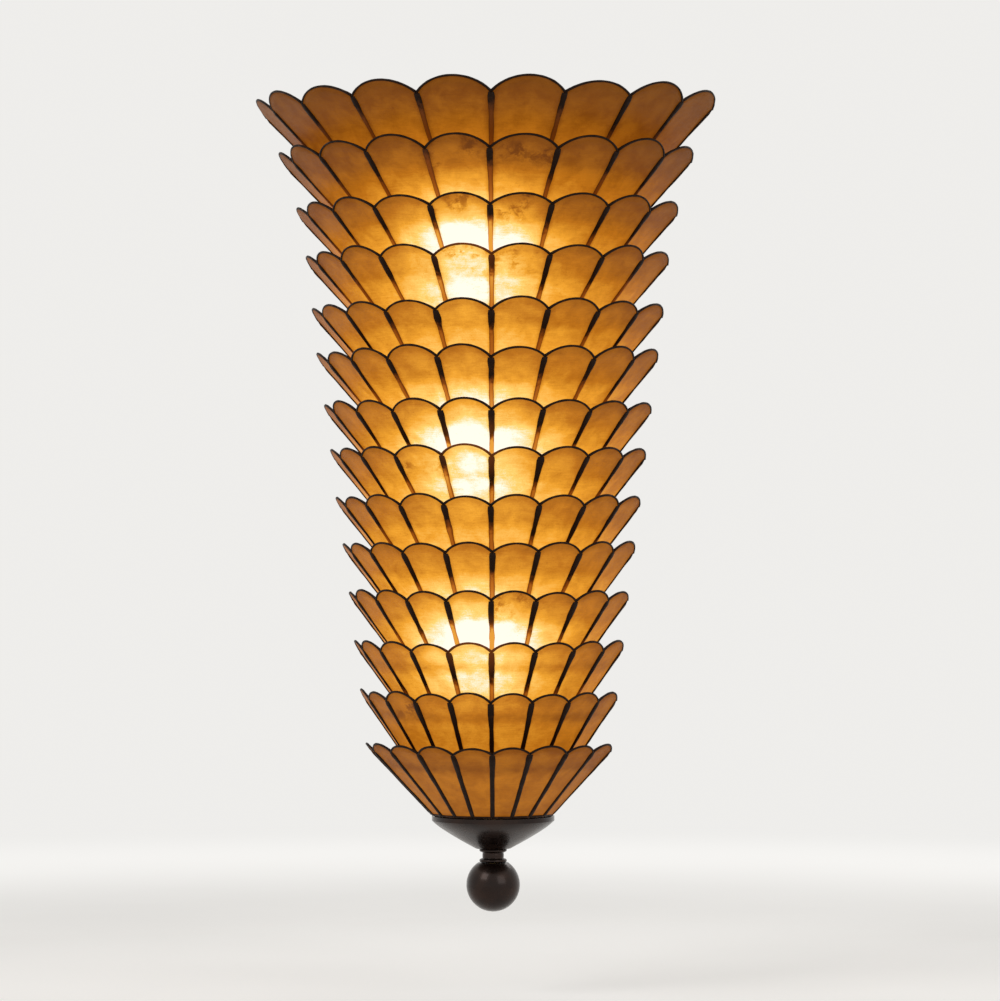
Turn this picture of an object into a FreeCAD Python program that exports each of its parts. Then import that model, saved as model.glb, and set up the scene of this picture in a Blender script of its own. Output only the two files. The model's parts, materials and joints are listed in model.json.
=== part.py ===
import FreeCAD, Part
import math
import os

# Half-round wall light. Fourteen nested tiers of shell petals hang as one shade on a sheet metal
# back pan with three lamps. Millimetres, +Z up. The wall is the plane Y = 0, the shade stands out
# towards -Y, and the origin is the middle of the wall strap, on the wall.
# Tiers are numbered from the top, petals and lamps from the left and from the top.

V = FreeCAD.Vector
UP = V(0, 0, 1)
RIGHT = V(1, 0, 0)
FRONT = V(0, -1, 0)

# Clearances
BODY_GAP = 0.3            # between pieces that move apart
FIT_GAP = 0.1             # between a shaft and its bore, on the radius
THREAD_GAP = 0.05         # between a thread and its nut, on the radius

# Shade: tiers of petals
PETALS = 9
PETAL_ANGLE = 18.0        # from seam to seam, degrees
TIER_PITCHES = (40.5, 42.0, 38.0, 41.5, 36.0, 40.5, 35.0, 38.0, 36.5, 37.5, 39.5, 39.5, 40.5)
TIERS = len(TIER_PITCHES) + 1
TOP_RIM_Z = 343.5         # valleys of the top tier's scallops
BOTTOM_RIM_RADIUS = 97.6
RIM_STEP = 4.7            # each tier's rim is this much wider than the one below
TOP_FLARE = 22.5          # more at the top tier, fading out over FLARE_TIERS tiers
FLARE_TIERS = 3
TIER_HEIGHT = 52.0        # foot of a tier to its valleys, upright
BOTTOM_SPREAD = 36.0      # how far a petal leans out over its height
SPREAD_STEP = 1.25
LAST_FOOT_RADIUS = 48.6   # the bottom tier runs down to the cup
SCALLOP_RISE = 0.25       # height of a scallop over its chord
AXIS_OUT = 28.0           # axis of shade, cup and ball in front of the wall

# Petals and their metal edging
SHELL_THICKNESS = 1.2
CAME_THICKNESS = 2.6
CAME_WEB = 0.8            # metal outside the shell's edge
SEAM_WIDTH = 2.5          # edging along a petal's side, half a seam
RIM_WIDTH = 2.2           # edging round the scallop
FOOT_WIDTH = 3.0          # edging along a petal's foot

# Inner frame of the shade
RIB_SEAMS = (3, 6)        # seams with a rib behind, counted from the left end
RIB_DEPTH = 6.0
RIB_THICKNESS = 1.5
RAIL_DEPTH = 8.0
RAIL_THICKNESS = 2.0
FRAME_TOP = 8.0           # ribs run on above the top tier's foot
PLATE_THICKNESS = 3.0
PLATE_BACK = 12.0         # foot plate behind the axis
POST_RADIUS = 2.5
POST_TIER = 12            # posts to the wall at the foot of this tier
BUMPER_RADIUS = 4.5
BUMPER_LENGTH = 6.0
BUMPER_END = 2.0          # rubber between post and wall

# Hanger
ROD_RADIUS = 3.0
ROD_BELOW_RIM = 7.5
EAR_WIDTH = 14.0
EAR_THICKNESS = 2.0
EAR_RISE = 8.0
CAP_RADIUS = 4.5
CAP_LENGTH = 6.0
CAP_WALL = 1.5
HOOK_THICKNESS = 3.0
HOOK_WIDTH = 16.0
HOOK_LAP = 45.0           # length of hook inside the pan
HOOK_SLACK = 0.2

# Back pan and its strap
PAN_WIDTH = 84.0
PAN_DEPTH = 40.0
PAN_SHEET = 1.5
PAN_OVER = 24.0           # pan above the top lamp
PAN_UNDER = 12.0          # pan below the lowest grommet
STRAP_WIDTH = 25.0
STRAP_THICKNESS = 3.0
STRAP_LENGTH = 280.0
STRAP_HOLE_SPACING = 60.0
STRAP_HOLE_RADIUS = 2.6
CABLE_HOLE_RADIUS = 8.0
STUD_SPACING = 250.0
STUD_RADIUS = 2.5
CAP_NUT_RADIUS = 4.6
NUT_SKIRT = 4.0

# Lamps
LAMPS = 3
LAMP_PITCH = 152.5
MIDDLE_LAMP_Z = 77.0
LAMP_X = 0.0
BULB_RADIUS = 22.5
BULB_WALL = 0.8
BULB_GAP = 3.5            # bulb to pan
BULB_NECK_RADIUS = 8.0
BULB_CAP_RADIUS = 7.0
BULB_CAP_LENGTH = 22.0
BULB_CAP_DROP = 31.0      # top of the screw cap below the bulb's middle
CAP_RIDGES = 5
RIDGE_DEPTH = 0.6
TIP_RADIUS = 2.4
TIP_HEIGHT = 2.0

# Lampholders
HOLDER_RADIUS = 14.0
HOLDER_BASE = 4.0
HOLDER_COLLAR = 1.6
HOLDER_COLLAR_HEIGHT = 7.0
SLEEVE_WALL = 1.2
CONTACT_THICKNESS = 1.0
NIPPLE_RADIUS = 5.0
NIPPLE_BORE = 3.4
NIPPLE_LENGTH = 17.0
NIPPLE_IN_HOLDER = 3.0
NUT_FLATS = 14.0
NUT_HEIGHT = 4.0

# Lamp arms and screws
ARM_SHEET = 2.0
ARM_WIDTH = 24.0
ARM_REACH = 12.0          # arm beyond the lamp's axis
ARM_LEG = 22.0
SCREW_RADIUS = 2.0
SCREW_HEAD_RADIUS = 3.8
SCREW_HEAD_HEIGHT = 2.4
SCREW_LENGTH = 5.0        # screw behind the pan's sheet
SCREW_SPACING = 13.0
EARTH_SCREW_X = -26.0
EARTH_SCREW_Z = 30.0

# Wiring
LEAD_RADIUS = 2.0
LEAD_BACK = 28.0          # leads stand off the wall inside the pan
LEAD_BEND = 8.0
LEAD_LOOP = 18.0          # bend below a lampholder
GROMMET_RADIUS = 5.0
GROMMET_SHEET = 1.2
BLOCK_LEFT = 12.0
BLOCK_WIDTH = 26.0
BLOCK_BOTTOM = 14.0
BLOCK_HEIGHT = 22.0
BLOCK_DEPTH = 13.0
BLOCK_POLES = 3
BLOCK_SCREW_RADIUS = 2.0
BLOCK_SCREW_DEPTH = 4.0
LEAD_INSET = 6.0          # first lead from the terminal block's edge

# Foot: rod, cup, collar and ball
FOOT_ROD_RADIUS = 5.0
FOOT_ROD_ABOVE = 12.0
CUP_RADIUS = 49.0
CUP_LIP = 3.5
CUP_DROP = 22.5           # bowl below its lip
CUP_BOTTOM_RADIUS = 14.0
CUP_FULLNESS = 1.2
CUP_BACK = 18.0           # cup behind the axis
CUP_WALL = 1.5
CUP_FLOOR = 2.5
CUP_SECTIONS = 6
COLLAR_RADIUS = 11.0
COLLAR_WAIST = 8.6
COLLAR_HEIGHT = 11.0
BALL_RADIUS = 21.4
BALL_LAND = 12.0          # flat on top of the ball
THREAD_IN_BALL = 16.0


def box(x0, x1, y0, y1, z0, z1):
    """Upright block between two corners."""
    return Part.makeBox(x1 - x0, y1 - y0, z1 - z0, V(x0, y0, z0))


def rod(radius, start, end):
    """Round bar from one point to another."""
    run = end - start
    return Part.makeCylinder(radius, run.Length, start, run)


def plate(points, depth):
    """Flat plate with the given corners, thickened by the vector depth."""
    return Part.Face(Part.makePolygon(points + points[:1])).extrude(depth)


def turned(profile, x, y):
    """Solid turned about the upright axis through x, y from (radius, height) corners."""
    points = [V(radius, 0, z) for radius, z in profile]
    face = Part.Face(Part.makePolygon(points + points[:1]))
    solid = face.revolve(V(0, 0, 0), UP, 360)
    solid.translate(V(x, y, 0))
    return solid


def hexagon(flats, z0, height, x, y):
    """Upright hexagonal bar."""
    corner = flats / 2 / math.cos(math.pi / 6)
    points = []
    for side in range(6):
        angle = math.radians(60 * side)
        points.append(V(x + corner * math.cos(angle), y + corner * math.sin(angle), z0))
    return plate(points, UP * height)


def together(solids):
    """One node of separate solids."""
    return Part.makeCompound(solids)


# ---------------------------------------------------------------- tiers

def rim_radius(tier):
    """Radius of a tier at its scallops' valleys."""
    flare = max(0.0, (FLARE_TIERS + 1 - tier) / FLARE_TIERS)
    return BOTTOM_RIM_RADIUS + RIM_STEP * (TIERS - tier) + TOP_FLARE * flare ** 2


def rim_height(tier):
    """Height of a tier's valleys."""
    return TOP_RIM_Z - sum(TIER_PITCHES[:tier - 1])


def foot_radius(tier):
    """Radius of a tier at its foot."""
    if tier == TIERS:
        return LAST_FOOT_RADIUS
    return rim_radius(tier) - BOTTOM_SPREAD - SPREAD_STEP * (TIERS - 1 - tier)


def foot_height(tier):
    """Height of a tier's foot."""
    return rim_height(tier) - TIER_HEIGHT


HALF_ANGLE = math.radians(PETAL_ANGLE / 2)


def seam_angle(seam):
    """Degrees of a seam round the shade's axis, counted from the left end."""
    return 270 + PETAL_ANGLE * (seam - PETALS / 2)


def petal_lean(tier):
    """Sine of a petal's lean from upright."""
    spread = (rim_radius(tier) - foot_radius(tier)) * math.cos(HALF_ANGLE)
    return spread / math.hypot(spread, TIER_HEIGHT)


def petal_slab(tier, side, top, bottom, thickness):
    """Petal-shaped slab, pointing along +X, drawn in by side, top and bottom from the seam lines."""
    foot = V(foot_radius(tier) * math.cos(HALF_ANGLE), 0, foot_height(tier))
    rim = V(rim_radius(tier) * math.cos(HALF_ANGLE), 0, rim_height(tier))
    up = (rim - foot).normalize()
    out = V(up.z, 0, -up.x)
    across = V(0, 1, 0)
    height = (rim - foot).Length
    half_foot = foot_radius(tier) * math.sin(HALF_ANGLE)
    half_rim = rim_radius(tier) * math.sin(HALF_ANGLE)
    lean = (half_rim - half_foot) / height
    edge = half_foot - side * math.hypot(1, lean)
    rise = SCALLOP_RISE * 2 * half_rim
    arc_radius = (half_rim ** 2 + rise ** 2) / (2 * rise)
    arc_height = height + rise - arc_radius
    radius = arc_radius - top
    # where the side line meets the scallop
    a = 1 + lean ** 2
    b = edge * lean - arc_height
    c = edge ** 2 + arc_height ** 2 - radius ** 2
    corner = (-b + math.sqrt(b ** 2 - a * c)) / a

    def at(u, v):
        return foot + across * u + up * v - out * (thickness / 2)

    low = edge + lean * bottom
    high = edge + lean * corner
    edges = [
        Part.LineSegment(at(-high, corner), at(-low, bottom)).toShape(),
        Part.LineSegment(at(-low, bottom), at(low, bottom)).toShape(),
        Part.LineSegment(at(low, bottom), at(high, corner)).toShape(),
        Part.Arc(at(high, corner), at(0, arc_height + radius), at(-high, corner)).toShape(),
    ]
    return Part.Face(Part.Wire(edges)).extrude(out * thickness)


def petal_wedge(tier):
    """Room of one petal between its two seam planes."""
    reach = 2 * rim_radius(tier)
    side = reach * math.tan(HALF_ANGLE)
    low = foot_height(tier) - TIER_HEIGHT
    corners = [V(0, 0, low), V(reach, -side, low), V(reach, side, low)]
    return plate(corners, UP * 3 * TIER_HEIGHT)


def petal_ring(petal):
    """Copies of a petal round the shade's axis, from the left end."""
    copies = []
    for place in range(PETALS):
        copy = petal.copy()
        copy.rotate(V(0, 0, 0), UP, seam_angle(place + 0.5))
        copy.translate(FRONT * AXIS_OUT)
        copies.append(copy)
    return together(copies)


def tier_shells(tier):
    """Shell panes of one tier."""
    return petal_ring(petal_slab(tier, CAME_WEB, CAME_WEB, CAME_WEB, SHELL_THICKNESS))


def tier_came(tier):
    """Metal edging of one tier: a grooved frame round each shell, mitred on the seams."""
    frame = petal_slab(tier, -CAME_THICKNESS, 0, 0, CAME_THICKNESS).common(petal_wedge(tier))
    frame = frame.cut(petal_slab(tier, SEAM_WIDTH, RIM_WIDTH, FOOT_WIDTH, 3 * CAME_THICKNESS))
    frame = frame.cut(petal_slab(tier, CAME_WEB, CAME_WEB, CAME_WEB, SHELL_THICKNESS))
    return petal_ring(frame.Solids[0])


# ---------------------------------------------------------------- frame of the shade

PLATE_TOP = foot_height(TIERS) + PLATE_THICKNESS
FRAME_TOP_Z = foot_height(1) + FRAME_TOP
ROD_Z = TOP_RIM_Z - ROD_BELOW_RIM
ROD_Y = -PAN_DEPTH + PAN_SHEET + HOOK_WIDTH / 2
END_TURN = seam_angle(PETALS) - 360
EAR_OUT = foot_radius(1) * math.cos(math.radians(END_TURN)) - RAIL_DEPTH / 2


def bar_profile(depth, top):
    """Outline, in the XZ plane, of a bar that runs down inside the tiers' feet."""
    outer = [V(foot_radius(1), 0, top)]
    for tier in range(1, TIERS):
        outer.append(V(foot_radius(tier), 0, foot_height(tier)))
    share = (PLATE_TOP - foot_height(TIERS)) / (foot_height(TIERS - 1) - foot_height(TIERS))
    last = LAST_FOOT_RADIUS + share * (foot_radius(TIERS - 1) - LAST_FOOT_RADIUS)
    outer.append(V(last, 0, PLATE_TOP))
    inner = [point - RIGHT * depth for point in reversed(outer)]
    return outer + inner


def core_ribs(cames):
    """Ribs behind two of the seams, notched for the tiers' feet."""
    ribs = []
    for seam in RIB_SEAMS:
        rib = plate(bar_profile(RIB_DEPTH, FRAME_TOP_Z), FRONT * RIB_THICKNESS)
        rib.translate(FRONT * (-RIB_THICKNESS / 2))
        rib.rotate(V(0, 0, 0), UP, seam_angle(seam))
        rib.translate(FRONT * AXIS_OUT)
        ribs.append(rib.cut(cames).Solids[0])
    return together(ribs)


def rail_back(x):
    """Y of a rail's back face."""
    return x * math.tan(math.radians(END_TURN)) - AXIS_OUT


def side_rails(cames):
    """Rail at each end of the shade, with an ear for the hanger rod."""
    rails = []
    for side in (-1, 1):
        rail = plate(bar_profile(RAIL_DEPTH, ROD_Z + EAR_RISE), FRONT * RAIL_THICKNESS)
        rail.rotate(V(0, 0, 0), UP, END_TURN)
        rail.translate(FRONT * AXIS_OUT)
        ear = box(EAR_OUT - EAR_THICKNESS, EAR_OUT, rail_back(EAR_OUT) - RAIL_THICKNESS / 2,
                  ROD_Y + EAR_WIDTH / 2, ROD_Z - EAR_WIDTH, ROD_Z + EAR_RISE)
        hole = rod(ROD_RADIUS + FIT_GAP, V(0, ROD_Y, ROD_Z), V(2 * EAR_OUT, ROD_Y, ROD_Z))
        rail = rail.fuse(ear).removeSplitter().cut(hole)
        if side < 0:
            rail = rail.mirror(V(0, 0, 0), RIGHT)
        rails.append(rail.cut(cames).Solids[0])
    return together(rails)


def foot_plate():
    """Plate inside the lowest foot ring, bored for the foot rod."""
    radius = LAST_FOOT_RADIUS - CAME_THICKNESS / 2 - BODY_GAP
    z = foot_height(TIERS)
    points = []
    for seam in range(PETALS + 1):
        angle = math.radians(seam_angle(seam))
        points.append(V(radius * math.cos(angle), radius * math.sin(angle) - AXIS_OUT, z))
    points.append(V(points[-1].x, PLATE_BACK - AXIS_OUT, z))
    points.append(V(points[0].x, PLATE_BACK - AXIS_OUT, z))
    body = plate(points, UP * PLATE_THICKNESS)
    return body.cut(foot_bar(FOOT_ROD_RADIUS + THREAD_GAP))


def post_places():
    """X and Z of the posts, one behind each rail."""
    x = (foot_radius(POST_TIER) - RAIL_DEPTH / 2) * math.cos(math.radians(END_TURN))
    return ((-x, foot_height(POST_TIER)), (x, foot_height(POST_TIER)))


def wall_posts(rails):
    """Posts that hold the rails off the wall."""
    posts = []
    for x, z in post_places():
        end = rail_back(abs(x)) - RAIL_THICKNESS / 2
        posts.append(rod(POST_RADIUS, V(x, -BODY_GAP - BUMPER_END, z), V(x, end, z)).cut(rails))
    return together(posts)


def wall_bumpers():
    """Rubber bumpers on the posts' ends, clear of the wall."""
    bumpers = []
    for x, z in post_places():
        face = V(x, -BODY_GAP, z)
        bumper = rod(BUMPER_RADIUS, face, face + FRONT * BUMPER_LENGTH)
        bumpers.append(bumper.cut(rod(POST_RADIUS, face + FRONT * BUMPER_END, face + FRONT * BUMPER_LENGTH)))
    return together(bumpers)


# ---------------------------------------------------------------- hanger

def hanger_rod():
    """Round rod that the shade hangs on."""
    end = EAR_OUT + BODY_GAP + CAP_LENGTH - CAP_WALL
    return rod(ROD_RADIUS, V(-end, ROD_Y, ROD_Z), V(end, ROD_Y, ROD_Z))


def hanger_caps():
    """Turned caps pressed on the rod's ends."""
    caps = []
    for side in (-1, 1):
        start = side * (EAR_OUT + BODY_GAP)
        seat = start + side * (CAP_LENGTH - CAP_WALL)
        cap = rod(CAP_RADIUS, V(start, ROD_Y, ROD_Z), V(start + side * CAP_LENGTH, ROD_Y, ROD_Z))
        caps.append(cap.cut(rod(ROD_RADIUS, V(start, ROD_Y, ROD_Z), V(seat, ROD_Y, ROD_Z))))
    return together(caps)


HOOK_OUT = PAN_WIDTH / 2 - PAN_SHEET


def lamp_height(lamp):
    """Middle of a bulb, lamps counted from the top."""
    return MIDDLE_LAMP_Z + LAMP_PITCH * ((LAMPS + 1) / 2 - lamp)


LAMP_Y = -PAN_DEPTH - BULB_GAP - BULB_RADIUS
SLEEVE_OUT = BULB_CAP_RADIUS + BODY_GAP + SLEEVE_WALL
CAP_TIP_BELOW = BULB_CAP_DROP + BULB_CAP_LENGTH + TIP_HEIGHT
BORE_FLOOR_BELOW = CAP_TIP_BELOW + BODY_GAP + CONTACT_THICKNESS
HOLDER_BELOW = BORE_FLOOR_BELOW + HOLDER_BASE
NIPPLE_END_BELOW = HOLDER_BELOW - NIPPLE_IN_HOLDER + NIPPLE_LENGTH
GROMMET_BELOW = NIPPLE_END_BELOW + LEAD_LOOP
PAN_TOP = lamp_height(1) + BULB_RADIUS + PAN_OVER
PAN_BOTTOM = lamp_height(LAMPS) - GROMMET_BELOW - PAN_UNDER


def shade_hooks():
    """Two upright hook plates that hold the hanger rod, open at the top."""
    hooks = []
    for side in (-1, 1):
        x0 = HOOK_OUT - HOOK_THICKNESS
        hook = box(x0, HOOK_OUT, ROD_Y - HOOK_WIDTH / 2, ROD_Y + HOOK_WIDTH / 2,
                   PAN_TOP - HOOK_LAP, ROD_Z + EAR_RISE)
        half = ROD_RADIUS + HOOK_SLACK
        hook = hook.cut(rod(half, V(0, ROD_Y, ROD_Z), V(PAN_WIDTH, ROD_Y, ROD_Z)))
        hook = hook.cut(box(0, PAN_WIDTH, ROD_Y - half, ROD_Y + half, ROD_Z, ROD_Z + 2 * EAR_RISE))
        if side < 0:
            hook = hook.mirror(V(0, 0, 0), RIGHT)
        hooks.append(hook)
    return together(hooks)


# ---------------------------------------------------------------- back pan

def strap_ends(spacing):
    """The two heights, spacing apart, about the strap's middle."""
    return (-spacing / 2, spacing / 2)


def wall_strap():
    """Flat strap screwed to the wall, with a hole for the supply cable."""
    half = STRAP_WIDTH / 2
    strap = box(-half, half, -STRAP_THICKNESS, 0, -STRAP_LENGTH / 2, STRAP_LENGTH / 2)
    strap = strap.cut(rod(CABLE_HOLE_RADIUS, V(0, 0, 0), FRONT * STRAP_THICKNESS))
    for z in strap_ends(STRAP_HOLE_SPACING):
        strap = strap.cut(rod(STRAP_HOLE_RADIUS, V(0, 0, z), V(0, -STRAP_THICKNESS, z)))
    for z in strap_ends(STUD_SPACING):
        strap = strap.cut(rod(STUD_RADIUS, V(0, 0, z), V(0, -STRAP_THICKNESS, z)))
    return strap


def strap_studs():
    """Two studs from the strap through the pan."""
    studs = []
    for z in strap_ends(STUD_SPACING):
        studs.append(rod(STUD_RADIUS, V(0, 0, z), V(0, -PAN_DEPTH - NUT_SKIRT, z)))
    return together(studs)


def cap_nuts():
    """Domed nuts on the studs, which clamp the pan to the strap."""
    nuts = []
    for z in strap_ends(STUD_SPACING):
        foot = V(0, -PAN_DEPTH, z)
        top = foot + FRONT * NUT_SKIRT
        skirt = rod(CAP_NUT_RADIUS, foot, top)
        dome = Part.makeSphere(CAP_NUT_RADIUS, top, FRONT, 0, 90, 360)
        nuts.append(skirt.fuse(dome).removeSplitter().cut(rod(STUD_RADIUS, foot, top)))
    return together(nuts)


def pan_holes():
    """Everything that passes through the pan's front sheet."""
    holes = []
    for z in strap_ends(STUD_SPACING):
        holes.append(rod(STUD_RADIUS, V(0, 0, z), V(0, -2 * PAN_DEPTH, z)))
    for x, z in screw_places():
        holes.append(rod(SCREW_RADIUS, V(x, 0, z), V(x, -2 * PAN_DEPTH, z)))
    for lamp in range(1, LAMPS + 1):
        z = lamp_height(lamp) - GROMMET_BELOW
        holes.append(rod(GROMMET_RADIUS, V(LAMP_X, 0, z), V(LAMP_X, -2 * PAN_DEPTH, z)))
    return holes


def back_pan():
    """Sheet metal box, open to the wall, that carries hooks, lamps and wiring."""
    half = PAN_WIDTH / 2
    pan = box(-half, half, -PAN_DEPTH, 0, PAN_BOTTOM, PAN_TOP)
    inside = half - PAN_SHEET
    pan = pan.cut(box(-inside, inside, -PAN_DEPTH + PAN_SHEET, 0,
                      PAN_BOTTOM + PAN_SHEET, PAN_TOP - PAN_SHEET))
    for hole in pan_holes():
        pan = pan.cut(hole)
    return pan.cut(shade_hooks())


def screw_places():
    """X and Z of the pan's screws: two to a lamp arm, and the earth screw."""
    places = [(EARTH_SCREW_X, EARTH_SCREW_Z)]
    for lamp in range(1, LAMPS + 1):
        z = lamp_height(lamp) - HOLDER_BELOW - ARM_SHEET - ARM_LEG / 2
        places.append((LAMP_X - SCREW_SPACING / 2, z))
        places.append((LAMP_X + SCREW_SPACING / 2, z))
    return places


def pan_screws():
    """Pan-head screws, tapped into the pan's sheet."""
    screws = []
    for number, (x, z) in enumerate(screw_places()):
        head = -PAN_DEPTH - (ARM_SHEET if number else 0)
        shank = rod(SCREW_RADIUS, V(x, -PAN_DEPTH + PAN_SHEET + SCREW_LENGTH, z), V(x, head, z))
        top = rod(SCREW_HEAD_RADIUS, V(x, head, z), V(x, head - SCREW_HEAD_HEIGHT, z))
        slot = box(x - SCREW_HEAD_RADIUS, x + SCREW_HEAD_RADIUS, head - SCREW_HEAD_HEIGHT,
                   head - SCREW_HEAD_HEIGHT / 2, z - SCREW_RADIUS / 5, z + SCREW_RADIUS / 5)
        screws.append(shank.fuse(top).cut(slot))
    return together(screws)


# ---------------------------------------------------------------- lamps

def lamp_arms():
    """Bent brackets that carry the lampholders off the pan."""
    arms = []
    for lamp in range(1, LAMPS + 1):
        top = lamp_height(lamp) - HOLDER_BELOW
        left = LAMP_X - ARM_WIDTH / 2
        arm = box(left, left + ARM_WIDTH, LAMP_Y - ARM_REACH, -PAN_DEPTH, top - ARM_SHEET, top)
        arm = arm.fuse(box(left, left + ARM_WIDTH, -PAN_DEPTH - ARM_SHEET, -PAN_DEPTH,
                           top - ARM_SHEET - ARM_LEG, top)).removeSplitter()
        arm = arm.cut(rod(NIPPLE_RADIUS, V(LAMP_X, LAMP_Y, top - 2 * ARM_SHEET), V(LAMP_X, LAMP_Y, top)))
        for x, z in screw_places():
            arm = arm.cut(rod(SCREW_RADIUS, V(x, 0, z), V(x, -2 * PAN_DEPTH, z)))
        arms.append(arm)
    return together(arms)


def lampholders():
    """Moulded lampholders with a collar round the mouth."""
    holders = []
    bore = SLEEVE_OUT
    for lamp in range(1, LAMPS + 1):
        z = lamp_height(lamp)
        low = z - HOLDER_BELOW
        floor = z - BORE_FLOOR_BELOW
        mouth = z - BULB_CAP_DROP - BODY_GAP
        collar = mouth - HOLDER_COLLAR_HEIGHT
        inside = NIPPLE_RADIUS
        seat = low + NIPPLE_IN_HOLDER
        outer = HOLDER_RADIUS - HOLDER_COLLAR
        profile = [(inside, low), (outer, low), (outer, collar), (HOLDER_RADIUS, collar),
                   (HOLDER_RADIUS, mouth), (bore, mouth), (bore, floor),
                   (NIPPLE_BORE, floor), (NIPPLE_BORE, seat), (inside, seat)]
        holders.append(turned(profile, LAMP_X, LAMP_Y))
    return together(holders)


def holder_contacts():
    """Brass sleeve and centre contact in each lampholder."""
    contacts = []
    for lamp in range(1, LAMPS + 1):
        z = lamp_height(lamp)
        floor = z - BORE_FLOOR_BELOW
        mouth = z - BULB_CAP_DROP - BODY_GAP
        inner = SLEEVE_OUT - SLEEVE_WALL
        contacts.append(turned([(inner, floor), (SLEEVE_OUT, floor), (SLEEVE_OUT, mouth - SLEEVE_WALL),
                                (inner, mouth - SLEEVE_WALL)], LAMP_X, LAMP_Y))
        centre = V(LAMP_X, LAMP_Y, floor)
        contacts.append(rod(NIPPLE_RADIUS, centre, centre + UP * CONTACT_THICKNESS))
    return together(contacts)


def holder_fixings():
    """Threaded nipple and nut that fix each lampholder to its arm."""
    fixings = []
    for lamp in range(1, LAMPS + 1):
        low = lamp_height(lamp) - NIPPLE_END_BELOW
        arm = lamp_height(lamp) - HOLDER_BELOW - ARM_SHEET
        fixings.append(turned([(NIPPLE_BORE, low), (NIPPLE_RADIUS, low),
                               (NIPPLE_RADIUS, low + NIPPLE_LENGTH), (NIPPLE_BORE, low + NIPPLE_LENGTH)],
                              LAMP_X, LAMP_Y))
        nut = hexagon(NUT_FLATS, arm - NUT_HEIGHT, NUT_HEIGHT, LAMP_X, LAMP_Y)
        hole = rod(NIPPLE_RADIUS + THREAD_GAP, V(LAMP_X, LAMP_Y, low), V(LAMP_X, LAMP_Y, low + NIPPLE_LENGTH))
        fixings.append(nut.cut(hole))
    return together(fixings)


def bulb_glass(lamp):
    """Round bulb, open at the neck."""
    z = lamp_height(lamp)
    low = z - BULB_CAP_DROP
    shells = []
    for radius, neck in ((BULB_RADIUS, BULB_NECK_RADIUS),
                         (BULB_RADIUS - BULB_WALL, BULB_NECK_RADIUS - BULB_WALL)):
        ball = Part.makeSphere(radius, V(LAMP_X, LAMP_Y, z))
        # the cone leaves the ball where it is tangent to it
        drop = z - low
        tilt = math.asin((radius - neck) / drop) if radius - neck < drop else 0
        meet = radius * math.cos(tilt)
        cone = turned([(0, low), (neck, low), (meet, z - radius * math.sin(tilt)),
                       (0, z - radius * math.sin(tilt))], LAMP_X, LAMP_Y)
        shells.append(ball.fuse(cone))
    floor = box(LAMP_X - BULB_RADIUS, LAMP_X + BULB_RADIUS, LAMP_Y - BULB_RADIUS,
                LAMP_Y + BULB_RADIUS, low - BULB_RADIUS, low)
    return shells[0].cut(shells[1]).cut(floor).Solids[0]


def bulb_cap(lamp):
    """Ridged screw cap with its solder tip."""
    top = lamp_height(lamp) - BULB_CAP_DROP
    low = top - BULB_CAP_LENGTH
    pitch = BULB_CAP_LENGTH / (CAP_RIDGES + 1)
    valley = BULB_CAP_RADIUS - RIDGE_DEPTH
    profile = [(0, low - TIP_HEIGHT), (TIP_RADIUS, low - TIP_HEIGHT), (TIP_RADIUS, low)]
    for ridge in range(CAP_RIDGES):
        z = low + pitch * ridge
        profile.append((valley, z))
        profile.append((BULB_CAP_RADIUS, z + pitch / 2))
    profile.append((valley, low + pitch * CAP_RIDGES))
    profile.append((valley, top))
    profile.append((0, top))
    return turned(profile, LAMP_X, LAMP_Y)


# ---------------------------------------------------------------- wiring

def tube(points, bends, radius):
    """Round lead along straight runs joined by arcs, one bend radius to each inner point."""
    edges = []
    start = points[0]
    for number, bend in enumerate(bends):
        before, corner, after = points[number:number + 3]
        back = (before - corner).normalize()
        ahead = (after - corner).normalize()
        turn = math.pi - math.acos(back.dot(ahead))
        length = bend * math.tan(turn / 2)
        enter = corner + back * length
        leave = corner + ahead * length
        middle = (back + ahead).normalize()
        mid = corner + middle * (bend / math.cos(turn / 2) - bend)
        edges.append(Part.LineSegment(start, enter).toShape())
        edges.append(Part.Arc(enter, mid, leave).toShape())
        start = leave
    edges.append(Part.LineSegment(start, points[-1]).toShape())
    path = Part.Wire(edges)
    section = Part.Wire(Part.makeCircle(radius, points[0], points[1] - points[0]))
    lead = path.makePipeShell([section], True, False)
    return Part.Solid(lead) if lead.ShapeType != "Solid" else lead


def lamp_leads():
    """Leads from the terminal block, out through the grommets and up into the lampholders."""
    leads = []
    y = -LEAD_BACK
    near = BLOCK_LEFT + LEAD_INSET
    far = BLOCK_LEFT + BLOCK_WIDTH - LEAD_INSET
    for lamp in range(1, LAMPS + 1):
        grommet = lamp_height(lamp) - GROMMET_BELOW
        above = grommet > BLOCK_BOTTOM
        x = far if lamp == LAMPS else near
        start = BLOCK_BOTTOM + BLOCK_HEIGHT if above else BLOCK_BOTTOM
        end = lamp_height(lamp) - HOLDER_BELOW + NIPPLE_IN_HOLDER
        points = [V(x, y, start), V(x, y, grommet), V(LAMP_X, y, grommet),
                  V(LAMP_X, LAMP_Y, grommet), V(LAMP_X, LAMP_Y, end)]
        leads.append(tube(points, (LEAD_BEND, LEAD_BEND, LEAD_LOOP - LEAD_RADIUS), LEAD_RADIUS))
    return together(leads)


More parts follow.
